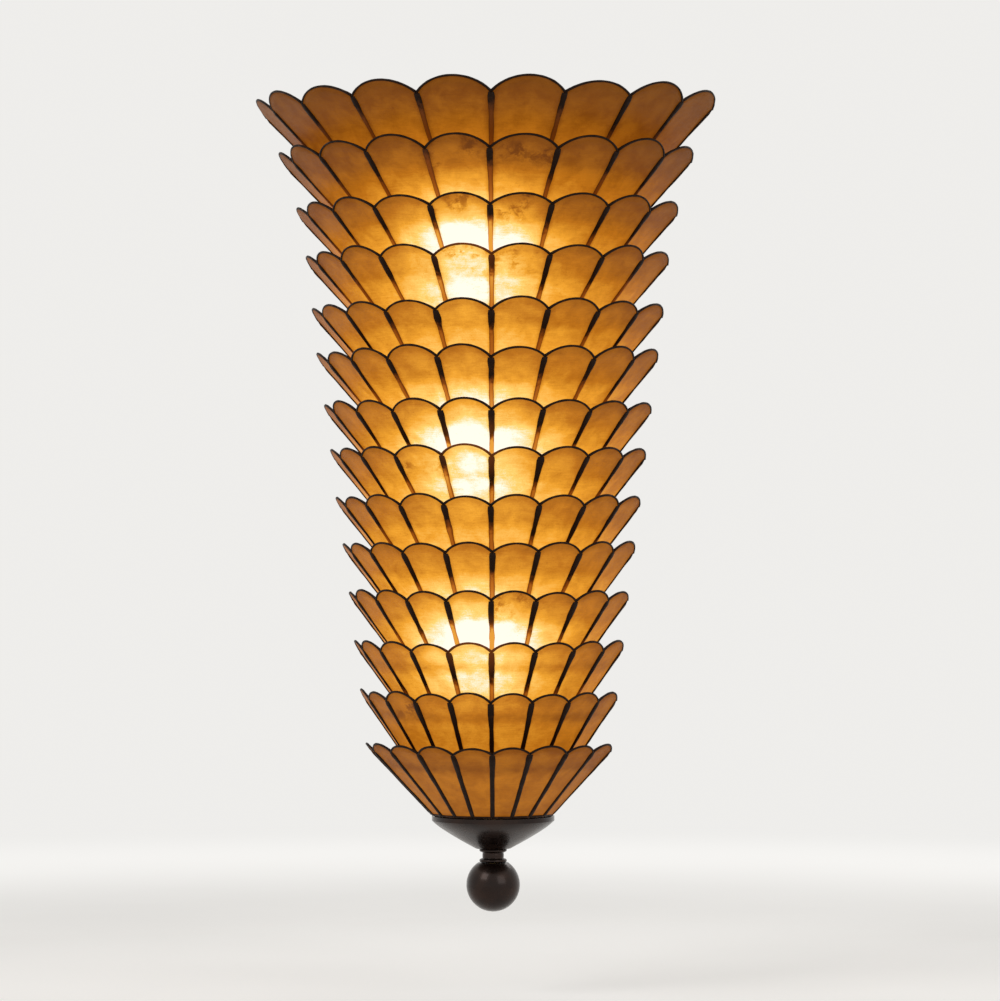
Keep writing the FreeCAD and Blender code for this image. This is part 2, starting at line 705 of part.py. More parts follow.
def grommets():
    """Rubber grommets where the leads leave the pan."""
    rings = []
    for lamp in range(1, LAMPS + 1):
        z = lamp_height(lamp) - GROMMET_BELOW
        back = V(LAMP_X, -PAN_DEPTH + PAN_SHEET, z)
        face = V(LAMP_X, -PAN_DEPTH, z)
        ring = rod(GROMMET_RADIUS, back, face)
        flange = rod(GROMMET_RADIUS + GROMMET_SHEET, face, face + FRONT * GROMMET_SHEET)
        hole = rod(LEAD_RADIUS + FIT_GAP, V(LAMP_X, 0, z), V(LAMP_X, -2 * PAN_DEPTH, z))
        rings.append(ring.fuse(flange).removeSplitter().cut(hole))
    return together(rings)


def block_screw_places():
    """X and Z of the terminal screws, two to a pole."""
    pole = BLOCK_WIDTH / BLOCK_POLES
    places = []
    for number in range(BLOCK_POLES):
        x = BLOCK_LEFT + pole * (number + 0.5)
        for share in (0.25, 0.75):
            places.append((x, BLOCK_BOTTOM + BLOCK_HEIGHT * share))
    return places


def terminal_block():
    """Terminal block on the inside of the pan, screws facing the wall."""
    front = -PAN_DEPTH + PAN_SHEET
    block = box(BLOCK_LEFT, BLOCK_LEFT + BLOCK_WIDTH, front, front + BLOCK_DEPTH,
                BLOCK_BOTTOM, BLOCK_BOTTOM + BLOCK_HEIGHT)
    for x, z in block_screw_places():
        end = front + BLOCK_DEPTH
        block = block.cut(rod(BLOCK_SCREW_RADIUS, V(x, end - BLOCK_SCREW_DEPTH, z), V(x, end, z)))
    return block


def terminal_screws():
    """Slotted screws in the terminal block."""
    screws = []
    end = -PAN_DEPTH + PAN_SHEET + BLOCK_DEPTH
    for x, z in block_screw_places():
        screw = rod(BLOCK_SCREW_RADIUS, V(x, end - BLOCK_SCREW_DEPTH, z), V(x, end - THREAD_GAP, z))
        slot = box(x - BLOCK_SCREW_RADIUS, x + BLOCK_SCREW_RADIUS, end - BLOCK_SCREW_RADIUS / 2, end,
                   z - BLOCK_SCREW_RADIUS / 5, z + BLOCK_SCREW_RADIUS / 5)
        screws.append(screw.cut(slot))
    return together(screws)


# ---------------------------------------------------------------- foot

CUP_TOP = foot_height(TIERS) - CAME_THICKNESS / 2 * petal_lean(TIERS) - BODY_GAP
CUP_LOW = CUP_TOP - CUP_LIP - CUP_DROP
COLLAR_LOW = CUP_LOW - COLLAR_HEIGHT
BALL_TOP = COLLAR_LOW - BODY_GAP
BALL_Z = BALL_TOP - math.sqrt(BALL_RADIUS ** 2 - BALL_LAND ** 2)
FOOT_ROD_LOW = BALL_TOP - THREAD_IN_BALL


def foot_bar(radius):
    """Upright bar on the foot rod's axis, from above the plate to the rod's lower end."""
    return rod(radius, V(0, -AXIS_OUT, FOOT_ROD_LOW), V(0, -AXIS_OUT, PLATE_TOP + FOOT_ROD_ABOVE))


def foot_rod():
    """Threaded rod that the ball screws on to."""
    return foot_bar(FOOT_ROD_RADIUS)


def foot_nuts():
    """Nuts above and below the foot plate."""
    nuts = []
    for low in (PLATE_TOP, foot_height(TIERS) - NUT_HEIGHT):
        nut = hexagon(NUT_FLATS, low, NUT_HEIGHT, 0, -AXIS_OUT)
        nuts.append(nut.cut(foot_bar(FOOT_ROD_RADIUS + THREAD_GAP)))
    return together(nuts)


def cup_form(wall, floor):
    """Bowl cut off flat behind, less a wall and floor."""
    bend = CUP_TOP - CUP_LIP
    low = CUP_LOW + floor
    circles = []
    for step in range(CUP_SECTIONS):
        share = step / (CUP_SECTIONS - 1)
        radius = CUP_RADIUS + (CUP_BOTTOM_RADIUS - CUP_RADIUS) * share ** CUP_FULLNESS - wall
        z = bend + (low - bend) * share
        circles.append(Part.Wire(Part.makeCircle(radius, V(0, -AXIS_OUT, z), UP)))
    bowl = Part.makeLoft(circles, True, False)
    lip = rod(CUP_RADIUS - wall, V(0, -AXIS_OUT, bend), V(0, -AXIS_OUT, CUP_TOP))
    reach = 2 * CUP_RADIUS
    front = box(-reach, reach, -AXIS_OUT - reach, -AXIS_OUT + CUP_BACK - wall, low, CUP_TOP)
    return bowl.fuse(lip).common(front)


def foot_cup():
    """Hollow bowl under the shade, flat towards the wall."""
    cup = cup_form(0, 0).cut(cup_form(CUP_WALL, CUP_FLOOR))
    cup = cup.cut(foot_bar(FOOT_ROD_RADIUS + BODY_GAP))
    return cup.Solids[0]


def foot_collar():
    """Turned collar with a waist between cup and ball."""
    hole = FOOT_ROD_RADIUS + BODY_GAP
    band = COLLAR_HEIGHT / 4
    profile = [(hole, COLLAR_LOW), (COLLAR_RADIUS, COLLAR_LOW), (COLLAR_RADIUS, COLLAR_LOW + band),
               (COLLAR_WAIST, COLLAR_LOW + 2 * band), (COLLAR_RADIUS, COLLAR_LOW + 3 * band),
               (COLLAR_RADIUS, CUP_LOW), (hole, CUP_LOW)]
    return turned(profile, 0, -AXIS_OUT)


def ball_finial():
    """Ball with a threaded bore, which holds cup and collar up."""
    ball = Part.makeSphere(BALL_RADIUS, V(0, -AXIS_OUT, BALL_Z))
    half = 2 * BALL_RADIUS
    ball = ball.cut(box(-half, half, -AXIS_OUT - half, half - AXIS_OUT, BALL_TOP, BALL_TOP + half))
    bottom = V(0, -AXIS_OUT, FOOT_ROD_LOW - BODY_GAP)
    return ball.cut(rod(FOOT_ROD_RADIUS + FIT_GAP, bottom, V(0, -AXIS_OUT, BALL_TOP)))


# ---------------------------------------------------------------- all the pieces

def build():
    """Every piece by its node name."""
    nodes = {}
    cames = []
    for tier in range(1, TIERS + 1):
        nodes["tier_%02d_shells" % tier] = tier_shells(tier)
        nodes["tier_%02d_came" % tier] = tier_came(tier)
        cames += nodes["tier_%02d_came" % tier].Solids
    nodes["core_ribs"] = core_ribs(cames)
    nodes["side_rails"] = side_rails(cames)
    nodes["foot_plate"] = foot_plate()
    nodes["foot_rod"] = foot_rod()
    nodes["foot_nuts"] = foot_nuts()
    nodes["wall_posts"] = wall_posts(nodes["side_rails"].Solids)
    nodes["wall_bumpers"] = wall_bumpers()
    nodes["hanger_rod"] = hanger_rod()
    nodes["hanger_caps"] = hanger_caps()
    nodes["wall_strap"] = wall_strap()
    nodes["strap_studs"] = strap_studs()
    nodes["cap_nuts"] = cap_nuts()
    nodes["back_pan"] = back_pan()
    nodes["shade_hooks"] = shade_hooks()
    nodes["pan_screws"] = pan_screws()
    nodes["lamp_arms"] = lamp_arms()
    nodes["lampholders"] = lampholders()
    nodes["holder_contacts"] = holder_contacts()
    nodes["holder_fixings"] = holder_fixings()
    nodes["lamp_leads"] = lamp_leads()
    nodes["grommets"] = grommets()
    nodes["terminal_block"] = terminal_block()
    nodes["terminal_screws"] = terminal_screws()
    for lamp in range(1, LAMPS + 1):
        nodes["bulb_%d_glass" % lamp] = bulb_glass(lamp)
        nodes["bulb_%d_cap" % lamp] = bulb_cap(lamp)
    nodes["foot_cup"] = foot_cup()
    nodes["foot_collar"] = foot_collar()
    nodes["ball_finial"] = ball_finial()
    return nodes


os.makedirs("parts", exist_ok=True)
for name, shape in build().items():
    shape.exportStep("parts/%s.step" % name)
    print(name, len(shape.Solids), "solids", round(shape.Volume / 1000, 2), "cm3", shape.isValid())
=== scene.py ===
import json
import logging
import math
import random
from dataclasses import dataclass, field
from enum import Enum
from typing import Callable

import bpy
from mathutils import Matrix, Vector, noise


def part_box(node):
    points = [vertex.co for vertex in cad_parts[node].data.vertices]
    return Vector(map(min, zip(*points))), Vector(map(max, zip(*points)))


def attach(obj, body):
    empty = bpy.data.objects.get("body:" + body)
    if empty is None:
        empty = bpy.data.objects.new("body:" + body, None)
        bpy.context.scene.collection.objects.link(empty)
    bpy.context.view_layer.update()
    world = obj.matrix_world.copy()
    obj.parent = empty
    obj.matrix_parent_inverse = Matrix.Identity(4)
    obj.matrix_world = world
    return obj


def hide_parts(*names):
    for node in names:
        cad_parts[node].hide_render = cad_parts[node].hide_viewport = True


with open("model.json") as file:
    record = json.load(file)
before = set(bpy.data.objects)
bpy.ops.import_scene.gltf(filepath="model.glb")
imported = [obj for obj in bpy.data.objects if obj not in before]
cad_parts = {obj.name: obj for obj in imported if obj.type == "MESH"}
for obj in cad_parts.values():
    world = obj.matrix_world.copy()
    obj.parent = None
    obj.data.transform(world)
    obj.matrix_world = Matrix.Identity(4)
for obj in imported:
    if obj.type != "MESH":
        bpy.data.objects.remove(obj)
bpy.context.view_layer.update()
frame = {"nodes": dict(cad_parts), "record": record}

Triple = tuple[float, float, float]
Colour = Triple
Span = tuple[float, float]
Mark = tuple[float, float, float, float]
Stops = tuple[tuple[float, Colour], ...]
Sockets = dict[str, bpy.types.NodeSocket]

LOG = logging.getLogger("shell_sconce")
UP = Vector((0.0, 0.0, 1.0))
MM = 0.001
PETAL_DRAWS = 1000         # random numbers of a tier's petals start here
SOLDER_DRAWS = 2000        # and those of its solder here
NOISE_MIDDLE = (0.3, 0.7)  # where most of a noise's values lie
BLACK = (0.0, 0.0, 0.0)
DUST = (0.42, 0.38, 0.33)


class Edging(Enum):
    """Parts of the metal edging that are evenly dark, each with its blackness."""

    RIM = 0.86
    STILE = 0.75
    FOOT = 0.80


# ------------------------------------------------------------------ shade layout


@dataclass(frozen=True)
class Tier:
    """One tier of petals: where its valleys and its foot are, in metres."""

    number: int
    rim_radius: float
    foot_radius: float
    rim_z: float
    foot_z: float
    shadow_drop: float

    @property
    def label(self) -> str:
        """Two-digit name of the tier, counted from the top."""
        return f"tier_{self.number:02d}"


@dataclass(frozen=True)
class ShadeLayout:
    """Driving sizes of the shade, as the solids have them, in millimetres."""

    petals: int = 9
    petal_angle: float = 18.0
    pitches: tuple[float, ...] = (40.5, 42.0, 38.0, 41.5, 36.0, 40.5, 35.0,
                                  38.0, 36.5, 37.5, 39.5, 39.5, 40.5)
    top_rim_z: float = 343.5
    bottom_rim_radius: float = 97.6
    rim_step: float = 4.7
    top_flare: float = 22.5
    flare_tiers: int = 3
    tier_height: float = 52.0
    bottom_spread: float = 36.0
    spread_step: float = 1.25
    last_foot_radius: float = 48.6
    scallop_rise: float = 0.25
    axis_out: float = 28.0
    stained: tuple[tuple[int, int], ...] = ((2, 5), (2, 6), (3, 5), (3, 6), (4, 5),
                                            (4, 6), (8, 4), (11, 6), (13, 3))

    @property
    def count(self) -> int:
        """Number of tiers."""
        return len(self.pitches) + 1

    def seam_angle(self, seam: int) -> float:
        """Angle of a seam round the shade's axis in radians, counted from the left end."""
        return math.radians(270.0 + self.petal_angle * (seam - self.petals / 2))

    def tier(self, number: int) -> Tier:
        """Works out one tier.

        Args:
            number: the tier, counted from 1 at the top.

        Returns:
            Its radii and heights in metres.
        """
        flare = max(0.0, (self.flare_tiers + 1 - number) / self.flare_tiers)
        rim_radius = self.bottom_rim_radius + self.rim_step * (self.count - number)
        rim_radius += self.top_flare * flare ** 2
        spread = self.bottom_spread + self.spread_step * (self.count - 1 - number)
        last = number == self.count
        foot_radius = self.last_foot_radius if last else rim_radius - spread
        rim_z = self.top_rim_z - sum(self.pitches[:number - 1])
        above = self.pitches[number - 2] if number > 1 else self.tier_height
        return Tier(number, rim_radius * MM, foot_radius * MM, rim_z * MM,
                    (rim_z - self.tier_height) * MM, (self.tier_height - above) * MM)

    def tiers(self) -> list[Tier]:
        """All the tiers, from the top."""
        return [self.tier(number) for number in range(1, self.count + 1)]


# ------------------------------------------------------------------ mesh helpers


@dataclass
class MeshMaker:
    """Gathers vertices, faces and four numbers per vertex, and makes an object of them."""

    vertices: list[Vector] = field(default_factory=list)
    faces: list[tuple[int, ...]] = field(default_factory=list)
    marks: list[Mark] = field(default_factory=list)

    def add(self, point: Vector, mark: Mark = (0.0, 0.0, 0.0, 0.0)) -> int:
        """Adds a vertex.

        Args:
            point: its place, in metres.
            mark: four numbers that the material reads there.

        Returns:
            The vertex's number.
        """
        self.vertices.append(point)
        self.marks.append(mark)
        return len(self.vertices) - 1

    def skin(self, rings: list[list[int]]) -> None:
        """Joins closed rings of vertices with quads and caps both ends.

        Args:
            rings: vertex numbers of each ring, all the same length.
        """
        size = len(rings[0])
        for low, high in zip(rings, rings[1:]):
            for i in range(size):
                j = (i + 1) % size
                self.faces.append((low[i], low[j], high[j], high[i]))
        self.faces.append(tuple(reversed(rings[0])))
        self.faces.append(tuple(rings[-1]))

    def to_object(self, name: str, material: bpy.types.Material,
                  smooth: bool = True) -> bpy.types.Object:
        """Makes the object.

        Args:
            name: name of the piece.
            material: its finish.
            smooth: whether its faces shade smoothly.

        Returns:
            The new object, linked to the scene.
        """
        mesh = bpy.data.meshes.new(name)
        mesh.from_pydata([tuple(v) for v in self.vertices], [], self.faces)
        layer = mesh.color_attributes.new("marks", "FLOAT_COLOR", "POINT")
        layer.data.foreach_set("color", [number for mark in self.marks for number in mark])
        mesh.polygons.foreach_set("use_smooth", [smooth] * len(mesh.polygons))
        mesh.materials.append(material)
        mesh.validate()
        mesh.update()
        piece = bpy.data.objects.new(name, mesh)
        bpy.context.scene.collection.objects.link(piece)
        return piece


def lathe(profile: list[Span], centre: Vector, steps: int) -> MeshMaker:
    """Turns a profile about an upright axis.

    Args:
        profile: (radius, height) points from one end to the other, in metres.
        centre: a point of the axis.
        steps: facets round the axis.

    Returns:
        The mesh, capped at both ends.
    """
    maker = MeshMaker()
    angles = [2 * math.pi * step / steps for step in range(steps)]
    maker.skin([[maker.add(Vector((centre.x + radius * math.cos(angle),
                                   centre.y + radius * math.sin(angle), height)))
                 for angle in angles] for radius, height in profile])
    return maker


# ------------------------------------------------------------------ shader nodes


class NodeBench:
    """Adds nodes to one tree, with short calls for the kinds that the finishes use."""

    def __init__(self, tree: bpy.types.NodeTree) -> None:
        """Keeps the tree of a material, a world or a group."""
        self.tree = tree

    def link(self, source: object, target: bpy.types.NodeSocket) -> None:
        """Feeds a socket.

        Args:
            source: another socket, or a number, vector or colour.
            target: the socket that is fed.
        """
        if isinstance(source, bpy.types.NodeSocket):
            self.tree.links.new(source, target)
        else:
            target.default_value = source

    def node(self, kind: str, **settings: object) -> bpy.types.Node:
        """Adds a node.

        Args:
            kind: its type in Blender.
            **settings: its properties.

        Returns:
            The node.
        """
        node = self.tree.nodes.new(kind)
        for name, value in settings.items():
            setattr(node, name, value)
        return node

    def math(self, operation: str, *values: object, clamp: bool = False) -> bpy.types.NodeSocket:
        """Adds a Math node.

        Args:
            operation: what it works out.
            *values: its sockets or numbers, in order.
            clamp: whether the result is kept between 0 and 1.

        Returns:
            Its result.
        """
        node = self.node("ShaderNodeMath", operation=operation, use_clamp=clamp)
        for socket, value in zip(node.inputs, values):
            self.link(value, socket)
        return node.outputs[0]

    def chain(self, operation: str, values: tuple[object, ...]) -> bpy.types.NodeSocket:
        """Works through values with one operation, from the first on.

        Args:
            operation: what each Math node works out.
            values: sockets or numbers.

        Returns:
            The last result.
        """
        result = values[0]
        for value in values[1:]:
            result = self.math(operation, result, value)
        return result

    def plus(self, *values: object) -> bpy.types.NodeSocket:
        """Sum of sockets and numbers."""
        return self.chain("ADD", values)

    def times(self, *values: object) -> bpy.types.NodeSocket:
        """Product of sockets and numbers."""
        return self.chain("MULTIPLY", values)

    def vector(self, operation: str, *values: object) -> bpy.types.NodeSocket:
        """Adds a Vector Math node.

        Args:
            operation: what it works out.
            *values: its sockets or vectors, in order.

        Returns:
            Its vector, or its value for a length or a distance.
        """
        node = self.node("ShaderNodeVectorMath", operation=operation)
        for socket, value in zip(node.inputs, values):
            self.link(value, socket)
        return node.outputs["Value" if operation in ("DISTANCE", "LENGTH") else "Vector"]

    def noise(self, place: object, scale: object, detail: float = 3.0, roughness: float = 0.55,
              distortion: float = 0.0) -> bpy.types.NodeSocket:
        """Adds a Noise Texture.

        Args:
            place: where it is read.
            scale: how fine it is.
            detail: its finer layers.
            roughness: how strong they are.
            distortion: how far it is stirred.

        Returns:
            Its value.
        """
        node = self.node("ShaderNodeTexNoise")
        for name, value in (("Vector", place), ("Scale", scale), ("Detail", detail),
                            ("Roughness", roughness), ("Distortion", distortion)):
            self.link(value, node.inputs[name])
        return node.outputs["Fac"]

    def spread(self, value: object, low: float, high: float, to_low: float = 0.0,
               to_high: float = 1.0) -> bpy.types.NodeSocket:
        """Maps a value smoothly from one range to another, clamped.

        Args:
            value: the value.
            low: start of its range.
            high: end of its range.
            to_low: what the start becomes.
            to_high: what the end becomes.

        Returns:
            The mapped value.
        """
        node = self.node("ShaderNodeMapRange", interpolation_type="SMOOTHSTEP")
        for name, number in (("Value", value), ("From Min", low), ("From Max", high),
                             ("To Min", to_low), ("To Max", to_high)):
            self.link(number, node.inputs[name])
        return node.outputs["Result"]

    def bell(self, gap: object, width: float) -> bpy.types.NodeSocket:
        """Bell curve of a distance.

        Args:
            gap: the distance.
            width: how wide the bell is.

        Returns:
            1 at no distance, falling to 0.
        """
        ratio = self.math("DIVIDE", gap, width)
        return self.math("EXPONENT", self.times(ratio, ratio, -0.5))

    def mix(self, share: object, first: object, second: object) -> bpy.types.NodeSocket:
        """Mixes two colours.

        Args:
            share: how much of the second there is.
            first: a colour or a socket.
            second: a colour or a socket.

        Returns:
            The mixed colour.
        """
        node = self.node("ShaderNodeMix", data_type="RGBA")
        colours = [socket for socket in node.inputs if socket.type == "RGBA"]
        self.link(share, node.inputs[0])
        for socket, colour in zip(colours, (first, second)):
            self.link((*colour, 1.0) if isinstance(colour, tuple) else colour, socket)
        return next(socket for socket in node.outputs if socket.type == "RGBA")

    def ramp(self, value: object, stops: Stops) -> bpy.types.NodeSocket:
        """Turns a value into a colour.

        Args:
            value: the value, 0 to 1.
            stops: positions and their colours.

        Returns:
            The colour.
        """
        node = self.node("ShaderNodeValToRGB")
        elements = node.color_ramp.elements
        while len(elements) < len(stops):
            elements.new(1.0)
        for element, (position, colour) in zip(elements, stops):
            element.position = position
            element.color = (*colour, 1.0)
        self.link(value, node.inputs["Fac"])
        return node.outputs["Color"]

    def place(self) -> bpy.types.NodeSocket:
        """Place on the piece at rest, in the frame's own metres."""
        return self.node("ShaderNodeTexCoord").outputs["Object"]

    def parts(self, vector: bpy.types.NodeSocket) -> bpy.types.bpy_prop_collection:
        """Splits a vector.

        Args:
            vector: the vector.

        Returns:
            Its X, Y and Z.
        """
        node = self.node("ShaderNodeSeparateXYZ")
        self.link(vector, node.inputs[0])
        return node.outputs

    def seen(self) -> bpy.types.NodeSocket:
        """1 for the camera's own rays and their glossy reflections, 0 for light."""
        path = self.node("ShaderNodeLightPath").outputs
        return self.math("MAXIMUM", path["Is Camera Ray"], path["Is Glossy Ray"])


Fill = Callable[[NodeBench, bpy.types.bpy_prop_collection], Sockets]


def make_group(name: str, inputs: dict[str, float], outputs: tuple[str, ...], fill: Fill,
               vectors: tuple[str, ...] = ()) -> bpy.types.NodeTree:
    """Builds a shader node group.

    Args:
        name: name of the group.
        inputs: each number that goes in, with its default.
        outputs: each number that comes out.
        fill: adds the nodes and returns the socket for each output.
        vectors: each vector that goes in.

    Returns:
        The group.
    """
    group = bpy.data.node_groups.new(name, "ShaderNodeTree")
    face, number = group.interface, "NodeSocketFloat"
    for label in vectors:
        face.new_socket(label, in_out="INPUT", socket_type="NodeSocketVector")
    for label, value in inputs.items():
        face.new_socket(label, in_out="INPUT", socket_type=number).default_value = value
    for label in outputs:
        face.new_socket(label, in_out="OUTPUT", socket_type=number)
    bench = NodeBench(group)
    made = fill(bench, bench.node("NodeGroupInput").outputs)
    leaving = bench.node("NodeGroupOutput")
    for label, socket in made.items():
        bench.link(socket, leaving.inputs[label])
    return group


@dataclass(frozen=True)
class LampSpots:
    """The three lamps, and the spot and the wash of light that each gives shells and edging."""

    centres: tuple[Triple, ...] = ((0.0, -0.066, 0.2295), (0.0, -0.066, 0.077),
                                   (0.0, -0.066, -0.0755))
    strengths: Triple = (1.25, 1.0, 1.0)
    spot_width: float = 0.027
    spot_shape: Triple = (0.84, 0.12, 1.0)
    spot_right: float = 0.004
    spot_out: float = 0.006
    wash_width: float = 0.085
    wash_shape: Triple = (1.0, 0.70, 1.0)
    front: Span = (-0.070, -0.095)


@dataclass(frozen=True)
class ShellFigure:
    """How fine and how strong the markings of windowpane shell are.

    A grain is the detail, roughness and distortion of a marking's noise.
    """

    seed_shift: Triple = (7.3, 3.1, 11.7)
    cloud_scale: float = 62.0
    cloud_grain: Triple = (4.0, 0.6, 0.35)
    wave_scale: Triple = (90.0, 90.0, 1100.0)
    wave_grain: Triple = (5.0, 0.65, 0.8)
    wave_share: float = 0.55
    fibre_scale: Triple = (1500.0, 1500.0, 260.0)
    fibre_grain: Triple = (3.0, 0.6, 0.4)
    fibre_share: float = 0.45
    speck_scale: float = 900.0
    speck_grain: Triple = (2.0, 0.5, 0.0)
    speck: Span = (0.64, 0.72)
    blotch_scale: float = 105.0
    blotch_grain: Triple = (7.0, 0.72, 0.3)
    blotch: Span = (0.40, 0.60)
    patch_scale: float = 40.0
    patch_grain: Triple = (2.0, 0.5, 0.2)
    patch: Span = (0.38, 0.60)
    streak_height: float = 0.6
    cloud_height: float = 0.4


@dataclass
class Effects:
    """Node groups that several finishes share, each built once."""

    lamps: LampSpots = LampSpots()
    shell: ShellFigure = ShellFigure()
    patch_grain: Span = (4.0, 0.5)
    fleck_grain: Span = (2.0, 0.5)
    fleck: Span = (0.60, 0.72)
    dust_scale: float = 180.0
    dust_detail: float = 4.0
    dust_patch: Span = (0.35, 0.75)
    dust_slope: Span = (0.35, 0.95)

    def __post_init__(self) -> None:
        """Builds the groups."""
        self.glow = make_group("lamp_glow", {}, ("Near", "Far"), self._fill_glow)
        self.figure = make_group("shell_figure", {"Seed": 0.0},
                                 ("Cloud", "Streak", "Stain", "Speck", "Height"),
                                 self._fill_figure, ("Place",))
        self.patina = make_group("patina", {"Grain": 900.0, "Patch": 60.0},
                                 ("Patch", "Fleck", "Height"), self._fill_patina)
        self.dust = make_group("dust", {"Amount": 0.5}, ("Mask",), self._fill_dust)

    def _fill_glow(self, bench: NodeBench, entry: bpy.types.bpy_prop_collection) -> Sockets:
        """Light of the lamps on a point: a tight spot in front of each, and a wide wash.

        Args:
            bench: the group's bench.
            entry: not used, as nothing goes into this group.

        Returns:
            The spots and the washes.
        """
        lamps, place = self.lamps, bench.place()
        spot_place = bench.vector("MULTIPLY", place, lamps.spot_shape)
        wash_place = bench.vector("MULTIPLY", place, lamps.wash_shape)
        spots, washes = [], []
        for (x, y, z), strength in zip(lamps.centres, lamps.strengths):
            spot_centre = (x + lamps.spot_right, y * lamps.spot_shape[1] - lamps.spot_out, z)
            wash_centre = (x, y * lamps.wash_shape[1], z)
            spots.append(bench.bell(bench.vector("DISTANCE", spot_place, spot_centre),
                                    lamps.spot_width))
            washes.append(bench.times(bench.bell(bench.vector("DISTANCE", wash_place, wash_centre),
                                                 lamps.wash_width), strength))
        front = bench.spread(bench.parts(place)["Y"], *lamps.front)
        return {"Near": bench.times(bench.plus(*spots), front), "Far": bench.plus(*washes)}

    def _fill_figure(self, bench: NodeBench, entry: bpy.types.bpy_prop_collection) -> Sockets:
        """Clouds, growth lines, specks and stains of windowpane shell.

        Args:
            bench: the group's bench.
            entry: the place, and the pane's own seed.

        Returns:
            Each marking, and the relief.
        """
        shell, shift = self.shell, bench.node("ShaderNodeCombineXYZ")
        for socket, share in zip(shift.inputs, shell.seed_shift):
            bench.link(bench.times(entry["Seed"], share), socket)
        place = bench.vector("ADD", entry["Place"], shift.outputs[0])
        wave_place = bench.vector("MULTIPLY", place, shell.wave_scale)
        fibre_place = bench.vector("MULTIPLY", place, shell.fibre_scale)
        cloud = bench.noise(place, shell.cloud_scale, *shell.cloud_grain)
        wave = bench.noise(wave_place, 1.0, *shell.wave_grain)
        fibre = bench.noise(fibre_place, 1.0, *shell.fibre_grain)
        streak = bench.plus(bench.times(wave, shell.wave_share),
                            bench.times(fibre, shell.fibre_share))
        speck, blotch, patch = (
            bench.spread(bench.noise(place, scale, *grain), *span) for scale, grain, span in
            ((shell.speck_scale, shell.speck_grain, shell.speck),
             (shell.blotch_scale, shell.blotch_grain, shell.blotch),
             (shell.patch_scale, shell.patch_grain, shell.patch)))
        height = bench.plus(bench.times(streak, shell.streak_height),
                            bench.times(cloud, shell.cloud_height))
        return {"Cloud": cloud, "Streak": streak, "Stain": bench.times(blotch, patch),
                "Speck": speck, "Height": height}

    def _fill_patina(self, bench: NodeBench, entry: bpy.types.bpy_prop_collection) -> Sockets:
        """Uneven tone, small flecks and fine relief of metal or paint.

        Args:
            bench: the group's bench.
            entry: how fine the grain and the patches are.

        Returns:
            The patches, the flecks and the relief.
        """
        place = bench.place()
        patch = bench.noise(place, entry["Patch"], *self.patch_grain)
        grain = bench.noise(place, entry["Grain"], *self.fleck_grain)
        return {"Patch": patch, "Fleck": bench.spread(grain, *self.fleck), "Height": grain}

    def _fill_dust(self, bench: NodeBench, entry: bpy.types.bpy_prop_collection) -> Sockets:
        """Dust on faces that look up, in thin patches.

        Args:
            bench: the group's bench.
            entry: how much dust there is.

        Returns:
            Where it lies.
        """
        normal = bench.node("ShaderNodeNewGeometry").outputs["Normal"]
        facing = bench.spread(bench.parts(normal)["Z"], *self.dust_slope)
        patches = bench.spread(bench.noise(bench.place(), self.dust_scale, self.dust_detail),
                               *self.dust_patch)
        return {"Mask": bench.times(facing, patches, entry["Amount"])}


class Material:
    """A node material with one Principled shader."""

    def __init__(self, name: str) -> None:
        """Makes an empty material.

        Args:
            name: name of the finish.
        """
        self.material = bpy.data.materials.new(name)
        self.material.use_nodes = True
        tree = self.material.node_tree
        tree.nodes.clear()
        self.bench = NodeBench(tree)
        self.shader = self.bench.node("ShaderNodeBsdfPrincipled")
        output = self.bench.node("ShaderNodeOutputMaterial")
        self.bench.link(self.shader.outputs["BSDF"], output.inputs["Surface"])

    def set(self, socket: str, value: object) -> None:
        """Sets or feeds one of the shader's sockets.

        Args:
            socket: its name.
            value: a number, a colour or another socket.
        """
        if isinstance(value, tuple):
            value = (*value, 1.0)
        self.bench.link(value, self.shader.inputs[socket])

    def group(self, tree: bpy.types.NodeTree, **inputs: object) -> bpy.types.bpy_prop_collection:
        """Places a shared effect.

        Args:
            tree: its group.
            **inputs: what goes into it.

        Returns:
            What comes out of it.
        """
        node = self.bench.node("ShaderNodeGroup", node_tree=tree)
        for name, value in inputs.items():
            self.bench.link(value, node.inputs[name])
        return node.outputs

    def bump(self, height: object, distance: float, strength: float) -> None:
        """Feeds the shader's normal from a height.

        Args:
            height: the height, 0 to 1.
            distance: how much that is, in metres.
            strength: how strongly it shows.
        """
        node = self.bench.node("ShaderNodeBump")
        for name, value in (("Distance", distance), ("Strength", strength), ("Height", height)):
            self.bench.link(value, node.inputs[name])
        self.bench.link(node.outputs["Normal"], self.shader.inputs["Normal"])

    def marks(self) -> bpy.types.bpy_prop_collection:
        """The four numbers that a mesh carries for its finish, as Vector and Alpha."""
        return self.bench.node("ShaderNodeAttribute", attribute_name="marks").outputs


# ------------------------------------------------------------------ finishes


